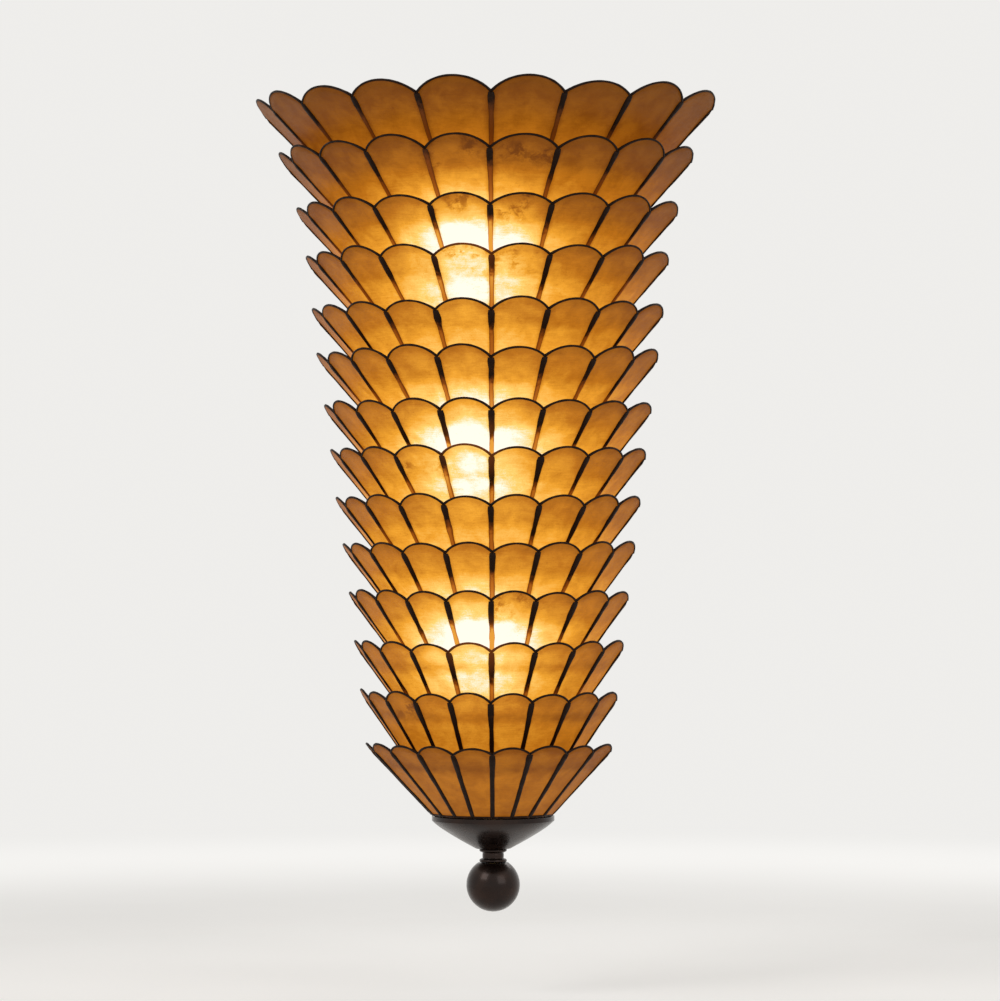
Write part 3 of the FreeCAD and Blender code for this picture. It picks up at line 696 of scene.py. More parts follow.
@dataclass(frozen=True)
class ShellFinish:
    """Windowpane shell, lit from behind by the lamps."""

    cream: Colour = (0.205, 0.080, 0.007)
    amber: Colour = (0.135, 0.042, 0.003)
    stain: Colour = (0.075, 0.020, 0.002)
    glow: Stops = ((0.0, BLACK), (0.16, (0.14, 0.036, 0.001)), (0.34, (0.43, 0.142, 0.007)),
                   (0.55, (0.82, 0.360, 0.030)), (0.78, (1.0, 0.66, 0.17)), (1.0, (1.0, 1.0, 0.86)))
    inside: float = 0.10
    wash: float = 0.42
    spot: float = 0.80
    side_edge: Span = (0.36, 0.50)
    rim_edge: Span = (0.84, 1.0)
    edge_amber: float = 0.35
    stain_height: Span = (0.50, 0.90)
    stain_seed: Span = (0.62, 0.92)
    cloud: Span = (0.26, 0.76)
    streak: Span = (0.34, 0.66)
    plain_light: float = 0.78
    cloud_light: float = 0.24
    streak_light: float = 0.16
    speck_light: float = 0.84
    rise: Span = (0.25, 1.0)
    rise_light: Span = (1.06, 0.80)
    edge_light: float = 0.82
    stain_light: float = 0.60
    roughness: Span = (0.46, 0.62)
    specular: float = 0.15
    relief_depth: float = 0.0004
    relief: float = 0.35

    def build(self, effects: Effects) -> bpy.types.Material:
        """Builds the material.

        Args:
            effects: the shared node groups.

        Returns:
            The material.
        """
        made = Material("shell")
        bench, marks = made.bench, made.marks()
        split, seed = bench.parts(marks["Vector"]), marks["Alpha"]
        across, height, layer = split["X"], split["Y"], split["Z"]
        figure = made.group(effects.figure, Place=bench.place(), Seed=seed)
        glow = made.group(effects.glow)
        side = bench.math("ABSOLUTE", bench.math("SUBTRACT", across, 0.5))
        edge = bench.math("MAXIMUM", bench.spread(side, *self.side_edge),
                          bench.spread(height, *self.rim_edge))
        stain = bench.times(figure["Stain"], bench.spread(height, *self.stain_height),
                            bench.spread(seed, *self.stain_seed))
        cloud = bench.spread(figure["Cloud"], *self.cloud)
        streak = bench.spread(figure["Streak"], *self.streak)

        base = bench.mix(cloud, self.amber, self.cream)
        base = bench.mix(bench.times(edge, self.edge_amber), base, self.amber)
        made.set("Base Color", bench.mix(stain, base, self.stain))

        light = bench.plus(bench.times(glow["Far"], self.wash), self.inside,
                           bench.times(glow["Near"], self.spot))
        # painted light and shade: how much of the lamps' painted glow shows, from the shell's own
        # clouds, streaks, specks and stains, with painted shade toward the rim, at the edges and
        # where the tier behind laps
        clear = bench.times(
            bench.plus(bench.times(cloud, self.cloud_light), bench.times(streak, self.streak_light),
                       self.plain_light),
            bench.spread(figure["Speck"], 0.0, 1.0, 1.0, self.speck_light),
            bench.spread(height, *self.rise, *self.rise_light),
            bench.spread(edge, 0.0, 1.0, 1.0, self.edge_light),
            bench.spread(stain, 0.0, 1.0, 1.0, self.stain_light), layer)
        made.set("Emission Color", bench.ramp(bench.times(light, clear), self.glow))
        made.set("Emission Strength", 1.0)
        made.set("Roughness", bench.spread(figure["Streak"], *NOISE_MIDDLE, *self.roughness))
        made.set("Specular IOR Level", self.specular)
        made.bump(figure["Height"], self.relief_depth, self.relief)
        return made.material


@dataclass(frozen=True)
class CameFinish:
    """Dark metal edging, black at the valleys and warm where light comes through its glue."""

    black: Colour = (0.014, 0.0055, 0.0025)
    brown: Colour = (0.090, 0.028, 0.006)
    glow: Stops = ((0.0, BLACK), (0.35, (0.16, 0.034, 0.001)), (0.7, (0.46, 0.135, 0.010)),
                   (1.0, (0.75, 0.33, 0.04)))
    grain: float = 1400.0
    patch: float = 240.0
    unevenness: float = 0.9
    # where the edging turns black: partly dark metal, partly painted shade
    blackness_and_shade: Span = (0.10, 0.90)
    wash: float = 0.55
    # painted light: share of the glow at a strip's edges and at its middle
    middle_glow: Span = (0.35, 1.0)
    leak: float = 0.25
    leak_from: Span = (0.55, 1.0)
    bare: Span = (0.4, 1.0)
    metallic: Span = (0.0, 0.35)
    roughness: Span = (0.46, 0.64)
    specular: float = 0.15
    relief_depth: float = 0.0003
    relief: float = 0.5

    def build(self, effects: Effects) -> bpy.types.Material:
        """Builds the material.

        Args:
            effects: the shared node groups.

        Returns:
            The material.
        """
        made = Material("came")
        bench = made.bench
        split = bench.parts(made.marks()["Vector"])
        dark, middle = split["X"], split["Y"]
        patina = made.group(effects.patina, Grain=self.grain, Patch=self.patch)
        glow = made.group(effects.glow)
        uneven = bench.times(bench.math("SUBTRACT", patina["Patch"], 0.5), self.unevenness)
        # blackness of the edging: partly dark metal, partly painted shade where the lamps' light
        # doesn't come through; it sets the colour and holds back the painted glow
        blackness_and_shade = bench.spread(bench.plus(dark, uneven), *self.blackness_and_shade)
        made.set("Base Color", bench.mix(blackness_and_shade, self.brown, self.black))
        # painted light: the glow through the edging is strongest along the middle of each strip
        clear = bench.times(bench.math("SUBTRACT", 1.0, blackness_and_shade),
                            bench.spread(middle, 0.0, 1.0, *self.middle_glow))
        light = bench.times(bench.plus(bench.times(glow["Far"], self.wash), glow["Near"]), clear)
        leak = bench.times(bench.spread(glow["Near"], *self.leak_from), self.leak)
        made.set("Emission Color", bench.ramp(bench.plus(light, leak), self.glow))
        made.set("Emission Strength", 1.0)
        made.set("Metallic", bench.spread(blackness_and_shade, *self.bare, *self.metallic))
        made.set("Roughness", bench.spread(patina["Patch"], *NOISE_MIDDLE, *self.roughness))
        made.set("Specular IOR Level", self.specular)
        made.bump(patina["Height"], self.relief_depth, self.relief)
        return made.material


@dataclass(frozen=True)
class WornFinish:
    """Surface with worn patches, flecks and dust. Its defaults are those of bare metal."""

    name: str
    colour: Colour
    worn: Colour
    roughness: float
    metallic: float = 1.0
    grain: float = 1600.0
    patch: float = 50.0
    relief: float = 0.25
    relief_depth: float = 0.0002
    dust: float = 0.25
    dust_roughness: float = 0.3
    coat: float = 0.0
    coat_roughness: float = 0.12
    tone: Span = (0.35, 0.70)
    tone_share: float = 0.55
    fleck_share: float = 0.35
    rougher: Span = (0.85, 1.2)

    def build(self, effects: Effects) -> bpy.types.Material:
        """Builds the material.

        Args:
            effects: the shared node groups.

        Returns:
            The material.
        """
        made = Material(self.name)
        bench = made.bench
        patina = made.group(effects.patina, Grain=self.grain, Patch=self.patch)
        dust = made.group(effects.dust, Amount=self.dust)["Mask"]
        tone = bench.spread(patina["Patch"], *self.tone)
        share = bench.plus(bench.times(tone, self.tone_share),
                           bench.times(patina["Fleck"], self.fleck_share))
        colour = bench.mix(share, self.colour, self.worn)
        made.set("Base Color", bench.mix(dust, colour, DUST))
        made.set("Metallic", self.metallic)
        rough = bench.spread(patina["Patch"], *NOISE_MIDDLE,
                             *(self.roughness * swing for swing in self.rougher))
        made.set("Roughness", bench.math("ADD", rough, bench.times(dust, self.dust_roughness),
                                         clamp=True))
        made.set("Coat Weight", self.coat)
        made.set("Coat Roughness", self.coat_roughness)
        made.bump(patina["Height"], self.relief_depth, self.relief)
        return made.material


@dataclass(frozen=True)
class MouldedFinish(WornFinish):
    """Porcelain, rubber or plastic: without flecks, and no rougher under dust."""

    metallic: float = 0.0
    grain: float = 2200.0
    patch: float = 90.0
    relief: float = 0.15
    dust: float = 0.3
    dust_roughness: float = 0.0
    tone: Span = (0.45, 0.75)
    tone_share: float = 0.6
    fleck_share: float = 0.0
    rougher: Span = (0.85, 1.15)


@dataclass(frozen=True)
class BulbFinish:
    """Frosted glass of a burning lamp, brightest at its heart."""

    glass: Colour = (0.92, 0.84, 0.68)
    clouded: Colour = (0.98, 0.93, 0.82)
    rim_light: Colour = (1.0, 0.52, 0.16)
    heart_light: Colour = (1.0, 0.80, 0.46)
    strength: float = 1.6
    heart_rise: float = 0.004
    heart_width: float = 0.020
    heart: Span = (0.30, 0.60)
    grain: float = 2600.0
    patch: float = 120.0
    roughness: Span = (0.30, 0.45)
    relief_depth: float = 0.0001
    relief: float = 0.15

    def build(self, effects: Effects) -> bpy.types.Material:
        """Builds the material.

        Args:
            effects: the shared node groups.

        Returns:
            The material.
        """
        made = Material("bulb_glass")
        bench = made.bench
        patina = made.group(effects.patina, Grain=self.grain, Patch=self.patch)
        made.set("Base Color", bench.mix(patina["Patch"], self.glass, self.clouded))
        place = bench.place()
        hearts = [bench.bell(bench.vector("DISTANCE", place, (x, y, z + self.heart_rise)),
                             self.heart_width) for x, y, z in effects.lamps.centres]
        heart = bench.spread(bench.plus(*hearts), *self.heart)
        made.set("Emission Color", bench.mix(heart, self.rim_light, self.heart_light))
        made.set("Emission Strength", self.strength)
        made.set("Roughness", bench.spread(patina["Patch"], *NOISE_MIDDLE, *self.roughness))
        made.bump(patina["Height"], self.relief_depth, self.relief)
        return made.material


# ------------------------------------------------------------------ shade


@dataclass
class PetalGrid:
    """Corners and directions of the petals of one tier, with a hand builder's unevenness."""

    layout: ShadeLayout
    tier: Tier
    sway: float = 0.9 * MM
    lift: float = 0.7 * MM
    rise_spread: float = 0.035
    stained_seed: Span = (0.93, 0.07)
    plain_seed: float = 0.70

    def __post_init__(self) -> None:
        """Works out the corners, always the same for a tier."""
        layout, tier = self.layout, self.tier
        draw = random.Random(PETAL_DRAWS + tier.number)
        base = Vector((0.0, -layout.axis_out * MM, 0.0))
        self.feet: list[Vector] = []
        self.rims: list[Vector] = []
        for seam in range(layout.petals + 1):
            angle = layout.seam_angle(seam)
            out = Vector((math.cos(angle), math.sin(angle), 0.0))
            along = Vector((-math.sin(angle), math.cos(angle), 0.0))
            inner = 0 < seam < layout.petals
            sway = draw.uniform(-self.sway, self.sway) if inner else 0.0
            lift = draw.uniform(-self.lift, self.lift)
            self.feet.append(base + out * tier.foot_radius + UP * tier.foot_z)
            self.rims.append(base + out * tier.rim_radius + along * sway + UP * (tier.rim_z + lift))
        self.rises = [layout.scallop_rise + draw.uniform(-self.rise_spread, self.rise_spread)
                      for _ in range(layout.petals)]
        self.seeds = [self.stained_seed[0] + self.stained_seed[1] * draw.random()
                      if (tier.number, petal + 1) in layout.stained
                      else self.plain_seed * draw.random() for petal in range(layout.petals)]

    def up(self, petal: int) -> Vector:
        """Direction up a petal's middle.

        Args:
            petal: the petal, counted from 0 at the left.

        Returns:
            The direction.
        """
        foot = (self.feet[petal] + self.feet[petal + 1]) / 2
        rim = (self.rims[petal] + self.rims[petal + 1]) / 2
        return (rim - foot).normalized()

    def across(self, petal: int) -> Vector:
        """Direction across a petal, from left to right."""
        return (self.rims[petal + 1] - self.rims[petal]).normalized()

    def out(self, petal: int) -> Vector:
        """Direction out of a petal's outer face."""
        return self.across(petal).cross(self.up(petal)).normalized()

    def rim_point(self, petal: int, share: float) -> Vector:
        """Point of a petal's scallop.

        Args:
            petal: the petal, counted from 0 at the left.
            share: 0 at its left valley, 1 at its right.

        Returns:
            The point.
        """
        left, right = self.rims[petal], self.rims[petal + 1]
        chord = (right - left).length
        rise = self.rises[petal] * chord
        radius = (chord ** 2 / 4 + rise ** 2) / (2 * rise)
        offset = (share - 0.5) * chord
        height = math.sqrt(radius ** 2 - offset ** 2) - (radius - rise)
        return left.lerp(right, share) + self.up(petal) * height

    def point(self, petal: int, across: float, height: float) -> Vector:
        """Point of a petal's middle plane, by share across and share of the height there."""
        foot = self.feet[petal].lerp(self.feet[petal + 1], across)
        return foot.lerp(self.rim_point(petal, across), height)

    def seam_out(self, seam: int) -> Vector:
        """Direction out of a seam.

        Args:
            seam: the seam, counted from 0 at the left end.

        Returns:
            The middle between the directions out of the petals beside it.
        """
        left = self.out(max(seam - 1, 0))
        right = self.out(min(seam, self.layout.petals - 1))
        return (left + right).normalized()

    def inward(self, seam: int) -> Vector:
        """Direction from an end seam into the shade's fan.

        Args:
            seam: the seam, counted from 0 at the left end.

        Returns:
            The direction, or nothing for a seam between petals.
        """
        if seam == 0:
            return self.across(0)
        if seam == self.layout.petals:
            return -self.across(seam - 1)
        return Vector()


@dataclass
class ShellTier:
    """Shell panes of one tier: thin, slightly wavy plates that fill their edging."""

    grid: PetalGrid
    thickness: float = 1.1 * MM
    wave: float = 0.45 * MM
    wave_scale: float = 38.0
    wave_shift: float = 50.0
    inset: float = 0.3 * MM
    columns: int = 12
    rows: int = 14
    foot_shadow: float = 3.2 * MM
    double_light: float = 0.86
    last_tiers: int = 3
    last_shadow: float = 0.26
    shadow: float = 0.08

    def build(self, material: bpy.types.Material) -> bpy.types.Object:
        """Makes the tier's panes as one piece.

        Args:
            material: the shell's finish.

        Returns:
            The piece.
        """
        maker = MeshMaker()
        for petal in range(self.grid.layout.petals):
            self._pane(maker, petal)
        tier = self.grid.tier
        piece = maker.to_object(f"{tier.label}_panes", material)
        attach(piece, "shade")
        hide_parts(f"{tier.label}_shells")
        return piece

    def _layer(self, point: Vector) -> float:
        """How much light the tier behind lets through: less where it laps, least at its foot.

        Args:
            point: a point of the pane.

        Returns:
            Share of the light, 0 to 1.
        """
        tier = self.grid.tier
        if tier.shadow_drop <= 0:
            return 1.0
        below = tier.rim_z - tier.shadow_drop - point.z
        single = min(1.0, max(0.0, 0.5 + below / (2 * self.foot_shadow)))
        ring = math.exp(-(below / self.foot_shadow) ** 2)
        last = tier.number > self.grid.layout.count - self.last_tiers
        depth = self.last_shadow if last else self.shadow
        return (self.double_light + (1 - self.double_light) * single) * (1 - depth * ring)

    def _pane(self, maker: MeshMaker, petal: int) -> None:
        """Adds one pane.

        Args:
            maker: the mesh so far.
            petal: the petal, counted from 0 at the left.
        """
        grid, rows, columns = self.grid, self.rows, self.columns
        side = self.inset / (grid.rims[petal + 1] - grid.rims[petal]).length
        end = self.inset / (grid.rims[petal] - grid.feet[petal]).length
        out, seed = grid.out(petal), grid.seeds[petal]
        shift = Vector((seed * self.wave_shift, 0, 0))
        back, front = [], []
        for half, face in ((-1, back), (1, front)):
            for row in range(rows + 1):
                share = end + (1 - 2 * end) * row / rows
                face.append([])
                for column in range(columns + 1):
                    across = side + (1 - 2 * side) * column / columns
                    point = grid.point(petal, across, share)
                    ripple = noise.noise(point * self.wave_scale + shift) * self.wave
                    place = point + out * (half * self.thickness / 2 + ripple)
                    face[-1].append(maker.add(place, (across, share, self._layer(point), seed)))
        for r in range(rows):
            for c in range(columns):
                corners = [(r, c), (r, c + 1), (r + 1, c + 1), (r + 1, c)]
                maker.faces.append(tuple(front[i][j] for i, j in corners))
                maker.faces.append(tuple(back[i][j] for i, j in reversed(corners)))
        outline = [(0, c) for c in range(columns)] + [(r, columns) for r in range(rows)]
        outline += [(rows, c) for c in range(columns, 0, -1)] + [(r, 0) for r in range(rows, 0, -1)]
        for (i, j), (k, m) in zip(outline, outline[1:] + outline[:1]):
            maker.faces.append((back[i][j], back[k][m], front[k][m], front[i][j]))


@dataclass
class CameTier:
    """Metal edging of one tier: rim beads, seams, end stiles and foot ring, run by hand."""

    grid: PetalGrid
    bead_radius: float = 0.78 * MM
    bead_swell: float = 0.30 * MM
    bead_wobble: Span = (260.0, 0.16 * MM)
    bead_lift: float = 0.35
    bead_depth: float = 1.1
    bead_steps: int = 18
    seam_width: float = 3.9 * MM
    seam_top: float = 1.9 * MM
    seam_half: float = 1.45 * MM
    seam_deeper: float = 0.35 * MM
    seam_wobble: Triple = (9.0, 0.40 * MM, 0.50 * MM)
    wobble_depth: float = 0.3
    seam_sway: Span = (3.0, 0.35 * MM)
    sway_shift: Triple = (9.0, 0.0, 0.0)
    seam_steps: int = 18
    flare_from: float = 0.45
    lump: float = 1.5 * MM
    lump_reach: float = 0.05
    lump_at: Span = (0.35, 0.95)
    end_width: float = 0.82
    end_depth: float = 0.6
    seed_range: float = 40.0
    stile_width: float = 2.3 * MM
    foot_half: float = 1.3 * MM
    foot_wobble: Span = (200.0, 0.2 * MM)
    sides: int = 10
    squareness: float = 0.8
    black_tiers: int = 2
    black_from: Triple = (0.74, 0.28, 0.34)
    black_unevenness: float = 0.30
    black_fade: float = 0.26

    def build(self, material: bpy.types.Material) -> bpy.types.Object:
        """Makes the tier's edging as one piece.

        Args:
            material: the edging's finish.

        Returns:
            The piece.
        """
        maker = MeshMaker()
        petals = self.grid.layout.petals
        draw = random.Random(SOLDER_DRAWS + self.grid.tier.number)
        for seam in range(petals + 1):
            self._seam(maker, seam, draw)
        for petal in range(petals):
            self._bead(maker, petal)
            self._foot(maker, petal)
        tier = self.grid.tier
        piece = maker.to_object(f"{tier.label}_edging", material)
        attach(piece, "shade")
        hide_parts(f"{tier.label}_came")
        return piece

    def _darkness(self, height: float, seam: int, seed: Vector) -> float:
        """How black a seam is at one height.

        The middle seams are black at their valleys alone. Those at the sides and on the lower tiers
        are black further down, each a little differently. The blackness is partly dark metal and
        partly painted shade: where it is black, none of the lamps' painted glow comes through.

        Args:
            height: share of the seam's height.
            seam: the seam, counted from 0 at the left end.
            seed: the seam's own place in the noise.

        Returns:
            Blackness, 0 to 1.
        """
        number, layout = self.grid.tier.number, self.grid.layout
        if number > layout.count - self.black_tiers:
            return 1.0
        side = abs(2 * seam - layout.petals) / layout.petals
        start, by_tier, by_side = self.black_from
        low = start - by_tier * number / layout.count - by_side * side
        low += self.black_unevenness * noise.noise(seed)
        return min(1.0, max(0.0, (height - low) / self.black_fade))

    def _section(self, maker: MeshMaker, centre: Vector, across: Vector, out: Vector,
                 half_width: float, half_depth: float, dark: float) -> list[int]:
        """Adds one rounded cross-section.

        Args:
            maker: the mesh so far.
            centre: middle of the section.
            across: direction across the strip.
            out: direction out of the shade.
            half_width: half its width.
            half_depth: half its depth.
            dark: how black it is there.

        Returns:
            The ring's vertex numbers.
        """
        ring = []
        for side in range(self.sides):
            angle = 2 * math.pi * side / self.sides
            x, y = (math.copysign(abs(part) ** self.squareness, part)
                    for part in (math.cos(angle), math.sin(angle)))
            point = centre + across * (x * half_width) + out * (y * half_depth)
            ring.append(maker.add(point, (dark, 1 - abs(x), 0.0, 0.0)))
        return ring

    def _seam(self, maker: MeshMaker, seam: int, draw: random.Random) -> None:
        """Adds one seam, wide and black at its valley, with a lump of solder here and there.

        Args:
            maker: the mesh so far.
            seam: the seam, counted from 0 at the left end.
            draw: the tier's random numbers.
        """
        grid = self.grid
        petals = grid.layout.petals
        foot, rim = grid.feet[seam], grid.rims[seam]
        out = grid.seam_out(seam)
        across = (rim - foot).normalized().cross(out).normalized()
        end = seam in (0, petals)
        inward = grid.inward(seam) * (self.stile_width / 2)
        lump_at = draw.uniform(*self.lump_at)
        lump = draw.uniform(0.0, 1.0) ** 3 * self.lump
        seed = Vector((draw.random() * self.seed_range, draw.random() * self.seed_range, 0.0))
        sway_seed = seed + Vector(self.sway_shift)
        rings = []
        for step in range(self.seam_steps + 1):
            share = step / self.seam_steps
            flare = max(0.0, (share - self.flare_from) / (1 - self.flare_from)) ** 2
            width = self.stile_width if end else self.seam_width + self.seam_top * flare
            fine, least, more = self.seam_wobble
            wobble = noise.noise(seed + UP * (share * fine)) * (least + more * share)
            width += wobble + lump * math.exp(-((share - lump_at) / self.lump_reach) ** 2)
            depth = self.seam_half + self.seam_deeper * flare + wobble * self.wobble_depth
            if step in (0, self.seam_steps):
                width *= self.end_width
                depth *= self.end_depth
            sway = noise.noise(sway_seed + UP * (share * self.seam_sway[0])) * self.seam_sway[1]
            dark = Edging.STILE.value if end else self._darkness(share, seam, seed)
            centre = foot.lerp(rim, share) + inward + across * (0.0 if end else sway)
            rings.append(self._section(maker, centre, across, out, width / 2, depth, dark))
        maker.skin(rings)

    def _bead(self, maker: MeshMaker, petal: int) -> None:
        """Adds the bead round one scallop, thicker at its valleys.

        Args:
            maker: the mesh so far.
            petal: the petal, counted from 0 at the left.
        """
        grid, steps = self.grid, self.bead_steps
        out = grid.out(petal)
        fine, wobble = self.bead_wobble
        rings = []
        points = [grid.rim_point(petal, step / steps) for step in range(steps + 1)]
        for step, point in enumerate(points):
            ahead = points[min(step + 1, steps)] - points[max(step - 1, 0)]
            across = out.cross(ahead).normalized()
            aside = abs(2 * step / steps - 1)
            radius = self.bead_radius + aside ** 4 * self.bead_swell
            radius += noise.noise(point * fine) * wobble
            centre = point + across * (self.bead_radius * self.bead_lift)
            dark = Edging.RIM.value + (1 - Edging.RIM.value) * aside
            rings.append(self._section(maker, centre, across, out, radius,
                                       radius * self.bead_depth, dark))
        maker.skin(rings)

    def _foot(self, maker: MeshMaker, petal: int) -> None:
        """Adds the strip along one petal's foot.

        Args:
            maker: the mesh so far.
            petal: the petal, counted from 0 at the left.
        """
        grid, steps = self.grid, self.bead_steps // 2
        out, up = grid.out(petal), grid.up(petal)
        fine, wobble = self.foot_wobble
        rings = []
        for step in range(steps + 1):
            point = grid.feet[petal].lerp(grid.feet[petal + 1], step / steps)
            half = self.foot_half + noise.noise(point * fine) * wobble
            centre = point + up * self.foot_half
            rings.append(self._section(maker, centre, up, out, half, half, Edging.FOOT.value))
        maker.skin(rings)


@dataclass
class Shade:
    """The whole shade: fourteen tiers of panes in their edging."""

    layout: ShadeLayout
    shell: bpy.types.Material
    came: bpy.types.Material

    def build(self) -> None:
        """Makes every tier and reports it."""
        for tier in self.layout.tiers():
            grid = PetalGrid(self.layout, tier)
            panes = ShellTier(grid).build(self.shell)
            edging = CameTier(grid).build(self.came)
            LOG.info("%s: %d pane faces, %d edging faces", tier.label,
                     len(panes.data.polygons), len(edging.data.polygons))


# ------------------------------------------------------------------ foot


@dataclass
class Foot:
    """Collar and ball under the dark cup."""

    bronze: bpy.types.Material
    axis: Vector
    cup_low: float
    collar_low: float
    collar_bore: float = 5.3 * MM
    collar_radius: float = 11.0 * MM
    collar_waist: float = 8.6 * MM
    bead_steps: int = 6
    waist_steps: int = 8
    ball_gap: float = 0.3 * MM
    ball_bore: float = 5.1 * MM
    ball_radius: float = 21.4 * MM
    ball_land: float = 12.0 * MM
    land_edge: float = 0.5 * MM
    ball_steps: int = 24
    ball_end: float = 0.03
    facets: int = 64

    def build(self) -> None:
        """Makes the collar and the ball, and reports them."""
        self._collar()
        self._ball()

    def _half_round(self, middle: float, bead: float) -> list[Span]:
        """Profile of one bead of the collar.

        Args:
            middle: height of the bead's middle.
            bead: its height.

        Returns:
            Its points, from below.
        """
        points = []
        for step in range(self.bead_steps + 1):
            angle = -math.pi / 2 + math.pi * step / self.bead_steps
            points.append((self.collar_radius - bead / 2 + bead / 2 * math.cos(angle),
                           middle + bead / 2 * math.sin(angle)))
        return points

    def _collar(self) -> None:
        """Turned collar with two beads and a waist."""
        low, high, waist = self.collar_low, self.cup_low, self.collar_waist
        bead = (high - low) / 4
        profile = [(self.collar_bore, low), *self._half_round(low + bead / 2, bead)]
        for step in range(1, self.waist_steps):
            share = step / self.waist_steps
            swell = (self.collar_radius - bead - waist) * abs(2 * share - 1) ** 2
            profile.append((waist + swell, low + bead + (high - low - 2 * bead) * share))
        profile += [*self._half_round(high - bead / 2, bead), (self.collar_bore, high)]
        piece = lathe(profile, self.axis, self.facets).to_object("turned_collar", self.bronze)
        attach(piece, "cup")
        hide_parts("foot_collar")
        LOG.info("turned_collar: %d faces", len(piece.data.polygons))

    def _ball(self) -> None:
        """Ball finial with a small land at its top."""
        top, radius = self.collar_low - self.ball_gap, self.ball_radius
        centre = top - math.sqrt(radius ** 2 - self.ball_land ** 2)
        start = math.acos((top - centre) / radius)
        profile = [(self.ball_bore, top), (self.ball_land - self.land_edge, top)]
        for step in range(self.ball_steps + 1):
            angle = start + (math.pi - self.ball_end - start) * step / self.ball_steps
            profile.append((radius * math.sin(angle), centre + radius * math.cos(angle)))
        piece = lathe(profile, self.axis, self.facets).to_object("ball", self.bronze)
        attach(piece, "finial")
        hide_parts("ball_finial")
        LOG.info("ball: %d faces", len(piece.data.polygons))


# ------------------------------------------------------------------ carried-over pieces


@dataclass
class CarriedPieces:
    """Solids whose shape is right: they get their finishes, and the sheet metal soft edges."""

    finishes: dict[str, bpy.types.Material]
    bevelled: tuple[str, ...] = ("back_pan", "shade_hooks", "lamp_arms", "wall_strap",
                                 "terminal_block", "foot_plate", "side_rails", "core_ribs")
    bevel: float = 0.35 * MM
    bevel_steps: int = 2

    def build(self) -> None:
        """Dresses each solid and reports it."""
        slots = {part["node"]: part["material_slot"] for part in frame["record"]["subparts"]}
        for name, node in frame["nodes"].items():
            material = self.finishes[slots[name]]
            for slot in node.material_slots:
                slot.link = "OBJECT"
                slot.material = material
            if name in self.bevelled:
                soft = node.modifiers.new("soft edges", "BEVEL")
                soft.width = self.bevel
                soft.segments = self.bevel_steps
                soft.limit_method = "ANGLE"
            LOG.info("%s: %s", name, material.name)


# ------------------------------------------------------------------ studio


@dataclass(frozen=True)
class Softbox:
    """A large soft lamp that looks at the object, its place and side in metres."""

    name: str
    place: Triple
    power: float
    side: float = 1.6

    def build(self) -> None:
        """Makes the lamp."""
        light = bpy.data.lights.new(self.name, "AREA")
        light.shape = "SQUARE"
        light.size = self.side
        light.energy = self.power
        lamp = bpy.data.objects.new(self.name, light)
        lamp.location = self.place
        lamp.rotation_euler = (-Vector(self.place)).to_track_quat("-Z", "Y").to_euler()
        bpy.context.scene.collection.objects.link(lamp)


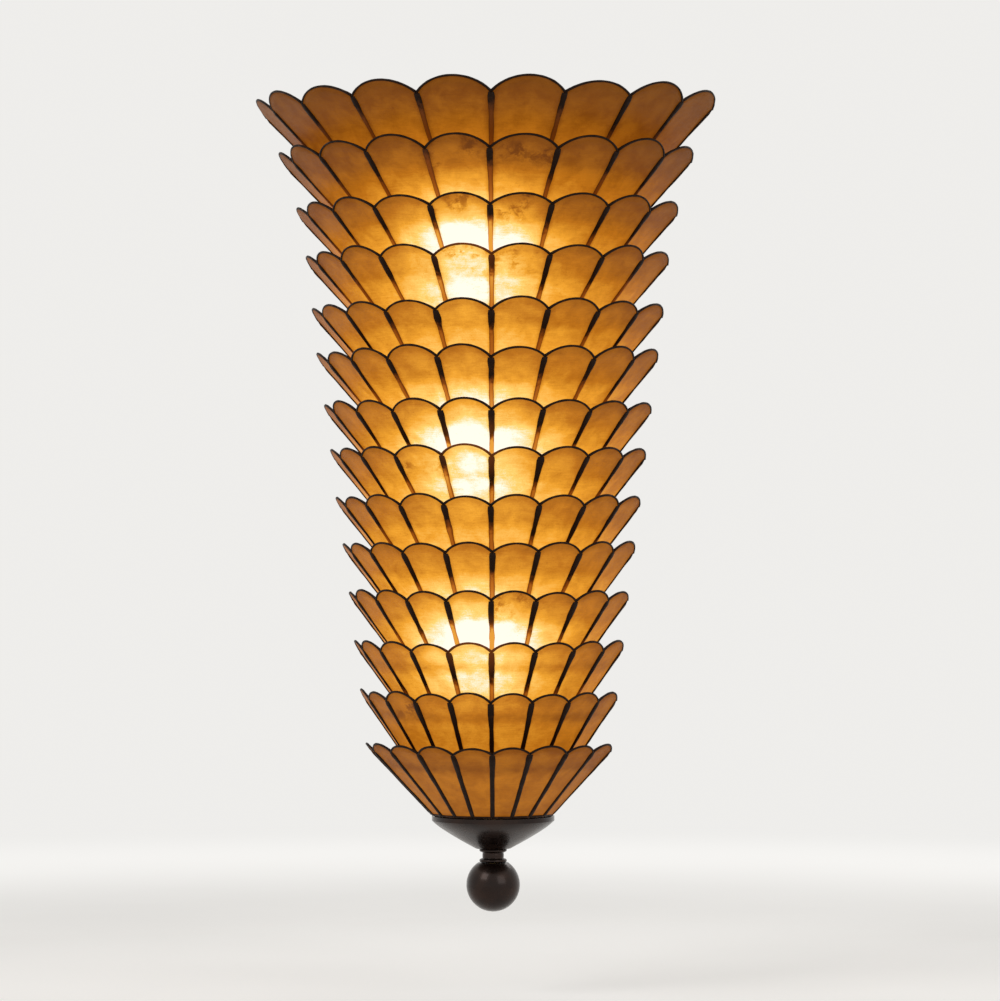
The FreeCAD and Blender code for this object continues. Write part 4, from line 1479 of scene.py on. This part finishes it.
@dataclass(frozen=True)
class Studio:
    """Pale floor, soft light and the camera at the photograph's viewing angle."""

    camera_place: Triple = (0.514, -3.067, -0.005)
    camera_aim: Triple = (0.0054, -0.027, 0.0372)
    focal: float = 138.7
    sensor: float = 36.0
    clip: Span = (0.05, 60.0)
    floor_z: float = -0.36
    floor_half: float = 6.0
    floor_fade: Span = (0.45, 1.9)
    floor_patch: float = 3.0
    floor_roughness: float = 0.9
    floor_light: Span = (0.25, 1.0)
    pale: Colour = (0.86, 0.85, 0.83)
    pale_patch: Colour = (0.83, 0.82, 0.80)
    daylight: Colour = (1.0, 0.98, 0.95)
    daylight_strength: float = 0.45
    softboxes: tuple[Softbox, ...] = (Softbox("key", (-1.6, -2.2, 1.8), 26.0),
                                      Softbox("fill", (1.9, -1.7, 0.9), 12.0),
                                      Softbox("back", (0.6, 2.0, 1.8), 16.0))

    def build(self) -> None:
        """Makes floor, world, lamps and camera."""
        self._floor()
        self._world()
        for softbox in self.softboxes:
            softbox.build()
        self._camera()
        bpy.context.scene.view_settings.view_transform = "Standard"

    def _floor(self) -> None:
        """Plain pale floor that fades into the surroundings and is clear from underneath."""
        made = Material("studio_floor")
        bench = made.bench
        patch = bench.spread(bench.noise(bench.place(), self.floor_patch), *NOISE_MIDDLE)
        far = bench.spread(bench.vector("LENGTH", bench.place()), *self.floor_fade)
        colour = bench.mix(patch, self.pale, self.pale_patch)
        made.set("Base Color", bench.mix(far, colour, BLACK))
        made.set("Roughness", self.floor_roughness)
        made.set("Specular IOR Level", 0.0)
        made.set("Emission Color", self.pale)
        under = bench.node("ShaderNodeNewGeometry").outputs["Backfacing"]
        made.set("Alpha", bench.math("SUBTRACT", 1.0, under))
        made.set("Emission Strength", bench.times(bench.seen(), bench.spread(far, 0.0, 1.0,
                                                                             *self.floor_light)))
        maker, half = MeshMaker(), self.floor_half
        maker.faces.append(tuple(maker.add(Vector((x * half, y * half, self.floor_z)))
                                 for x, y in ((-1, -1), (1, -1), (1, 1), (-1, 1))))
        floor = maker.to_object("studio_floor", made.material, smooth=False)

    def _world(self) -> None:
        """Pale surroundings: plain to the camera, softer as light."""
        world = bpy.data.worlds.new("studio")
        bpy.context.scene.world = world
        world.use_nodes = True
        world.node_tree.nodes.clear()
        bench = NodeBench(world.node_tree)
        mixer = bench.node("ShaderNodeMixShader")
        bench.link(bench.seen(), mixer.inputs[0])
        for entry, colour, strength in ((1, self.daylight, self.daylight_strength),
                                        (2, self.pale, 1.0)):
            sky = bench.node("ShaderNodeBackground")
            sky.inputs["Color"].default_value = (*colour, 1.0)
            sky.inputs["Strength"].default_value = strength
            bench.link(sky.outputs[0], mixer.inputs[entry])
        output = bench.node("ShaderNodeOutputWorld")
        bench.link(mixer.outputs[0], output.inputs["Surface"])

    def _camera(self) -> None:
        """Camera a little right of the light's front, at the height of its lower third."""
        data = bpy.data.cameras.new("camera")
        data.sensor_fit = "HORIZONTAL"
        data.sensor_width = self.sensor
        data.lens = self.focal
        data.clip_start, data.clip_end = self.clip
        camera = bpy.data.objects.new("camera", data)
        camera.location = self.camera_place
        aim = Vector(self.camera_aim) - Vector(self.camera_place)
        camera.rotation_euler = aim.to_track_quat("-Z", "Y").to_euler()
        bpy.context.scene.collection.objects.link(camera)
        bpy.context.scene.camera = camera


# ------------------------------------------------------------------ all of it


def finishes(effects: Effects) -> dict[str, bpy.types.Material]:
    """Builds the finish of each material slot.

    Args:
        effects: the shared node groups.

    Returns:
        The material of each slot.
    """
    metals = (
        WornFinish("frame_steel", (0.045, 0.028, 0.018), (0.11, 0.065, 0.035), 0.45, 0.6),
        WornFinish("foot_bronze", (0.014, 0.007, 0.005), (0.036, 0.016, 0.009), 0.26, 0.7,
                   patch=70.0, relief=0.10, dust=0.06, coat=0.10),
        WornFinish("pan_paint", (0.74, 0.70, 0.62), (0.66, 0.61, 0.52), 0.48, 0.0,
                   grain=2400.0, relief=0.35),
        WornFinish("zinc_steel", (0.52, 0.52, 0.50), (0.40, 0.40, 0.37), 0.38, patch=140.0),
        WornFinish("fastener", (0.60, 0.58, 0.54), (0.44, 0.42, 0.38), 0.32, patch=300.0),
        WornFinish("brass", (0.66, 0.43, 0.15), (0.42, 0.25, 0.09), 0.30, patch=160.0),
        WornFinish("bulb_cap", (0.70, 0.70, 0.68), (0.55, 0.54, 0.50), 0.30, patch=220.0),
    )
    moulded = (
        MouldedFinish("holder_body", (0.80, 0.77, 0.69), (0.62, 0.56, 0.45), 0.42),
        MouldedFinish("lead", (0.72, 0.68, 0.58), (0.60, 0.54, 0.43), 0.50),
        MouldedFinish("rubber", (0.022, 0.021, 0.020), (0.055, 0.050, 0.045), 0.75, relief=0.4),
        MouldedFinish("block", (0.74, 0.72, 0.65), (0.62, 0.58, 0.48), 0.45),
    )
    made = {"shell": ShellFinish().build(effects), "came": CameFinish().build(effects),
            "bulb_glass": BulbFinish().build(effects)}
    for finish in (*metals, *moulded):
        made[finish.name] = finish.build(effects)
    return made


def main() -> None:
    """Builds the sconce's looks round the solids and sets the studio."""
    logging.basicConfig(level=logging.INFO, format="%(message)s")
    materials = finishes(Effects())
    CarriedPieces(materials).build()
    Shade(ShadeLayout(), materials["shell"], materials["came"]).build()
    collar_low, collar_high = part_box("foot_collar")
    axis = (Vector(collar_low) + Vector(collar_high)) / 2
    Foot(materials["foot_bronze"], axis, collar_high[2], collar_low[2]).build()
    Studio().build()


if __name__ == "__main__":
    main()
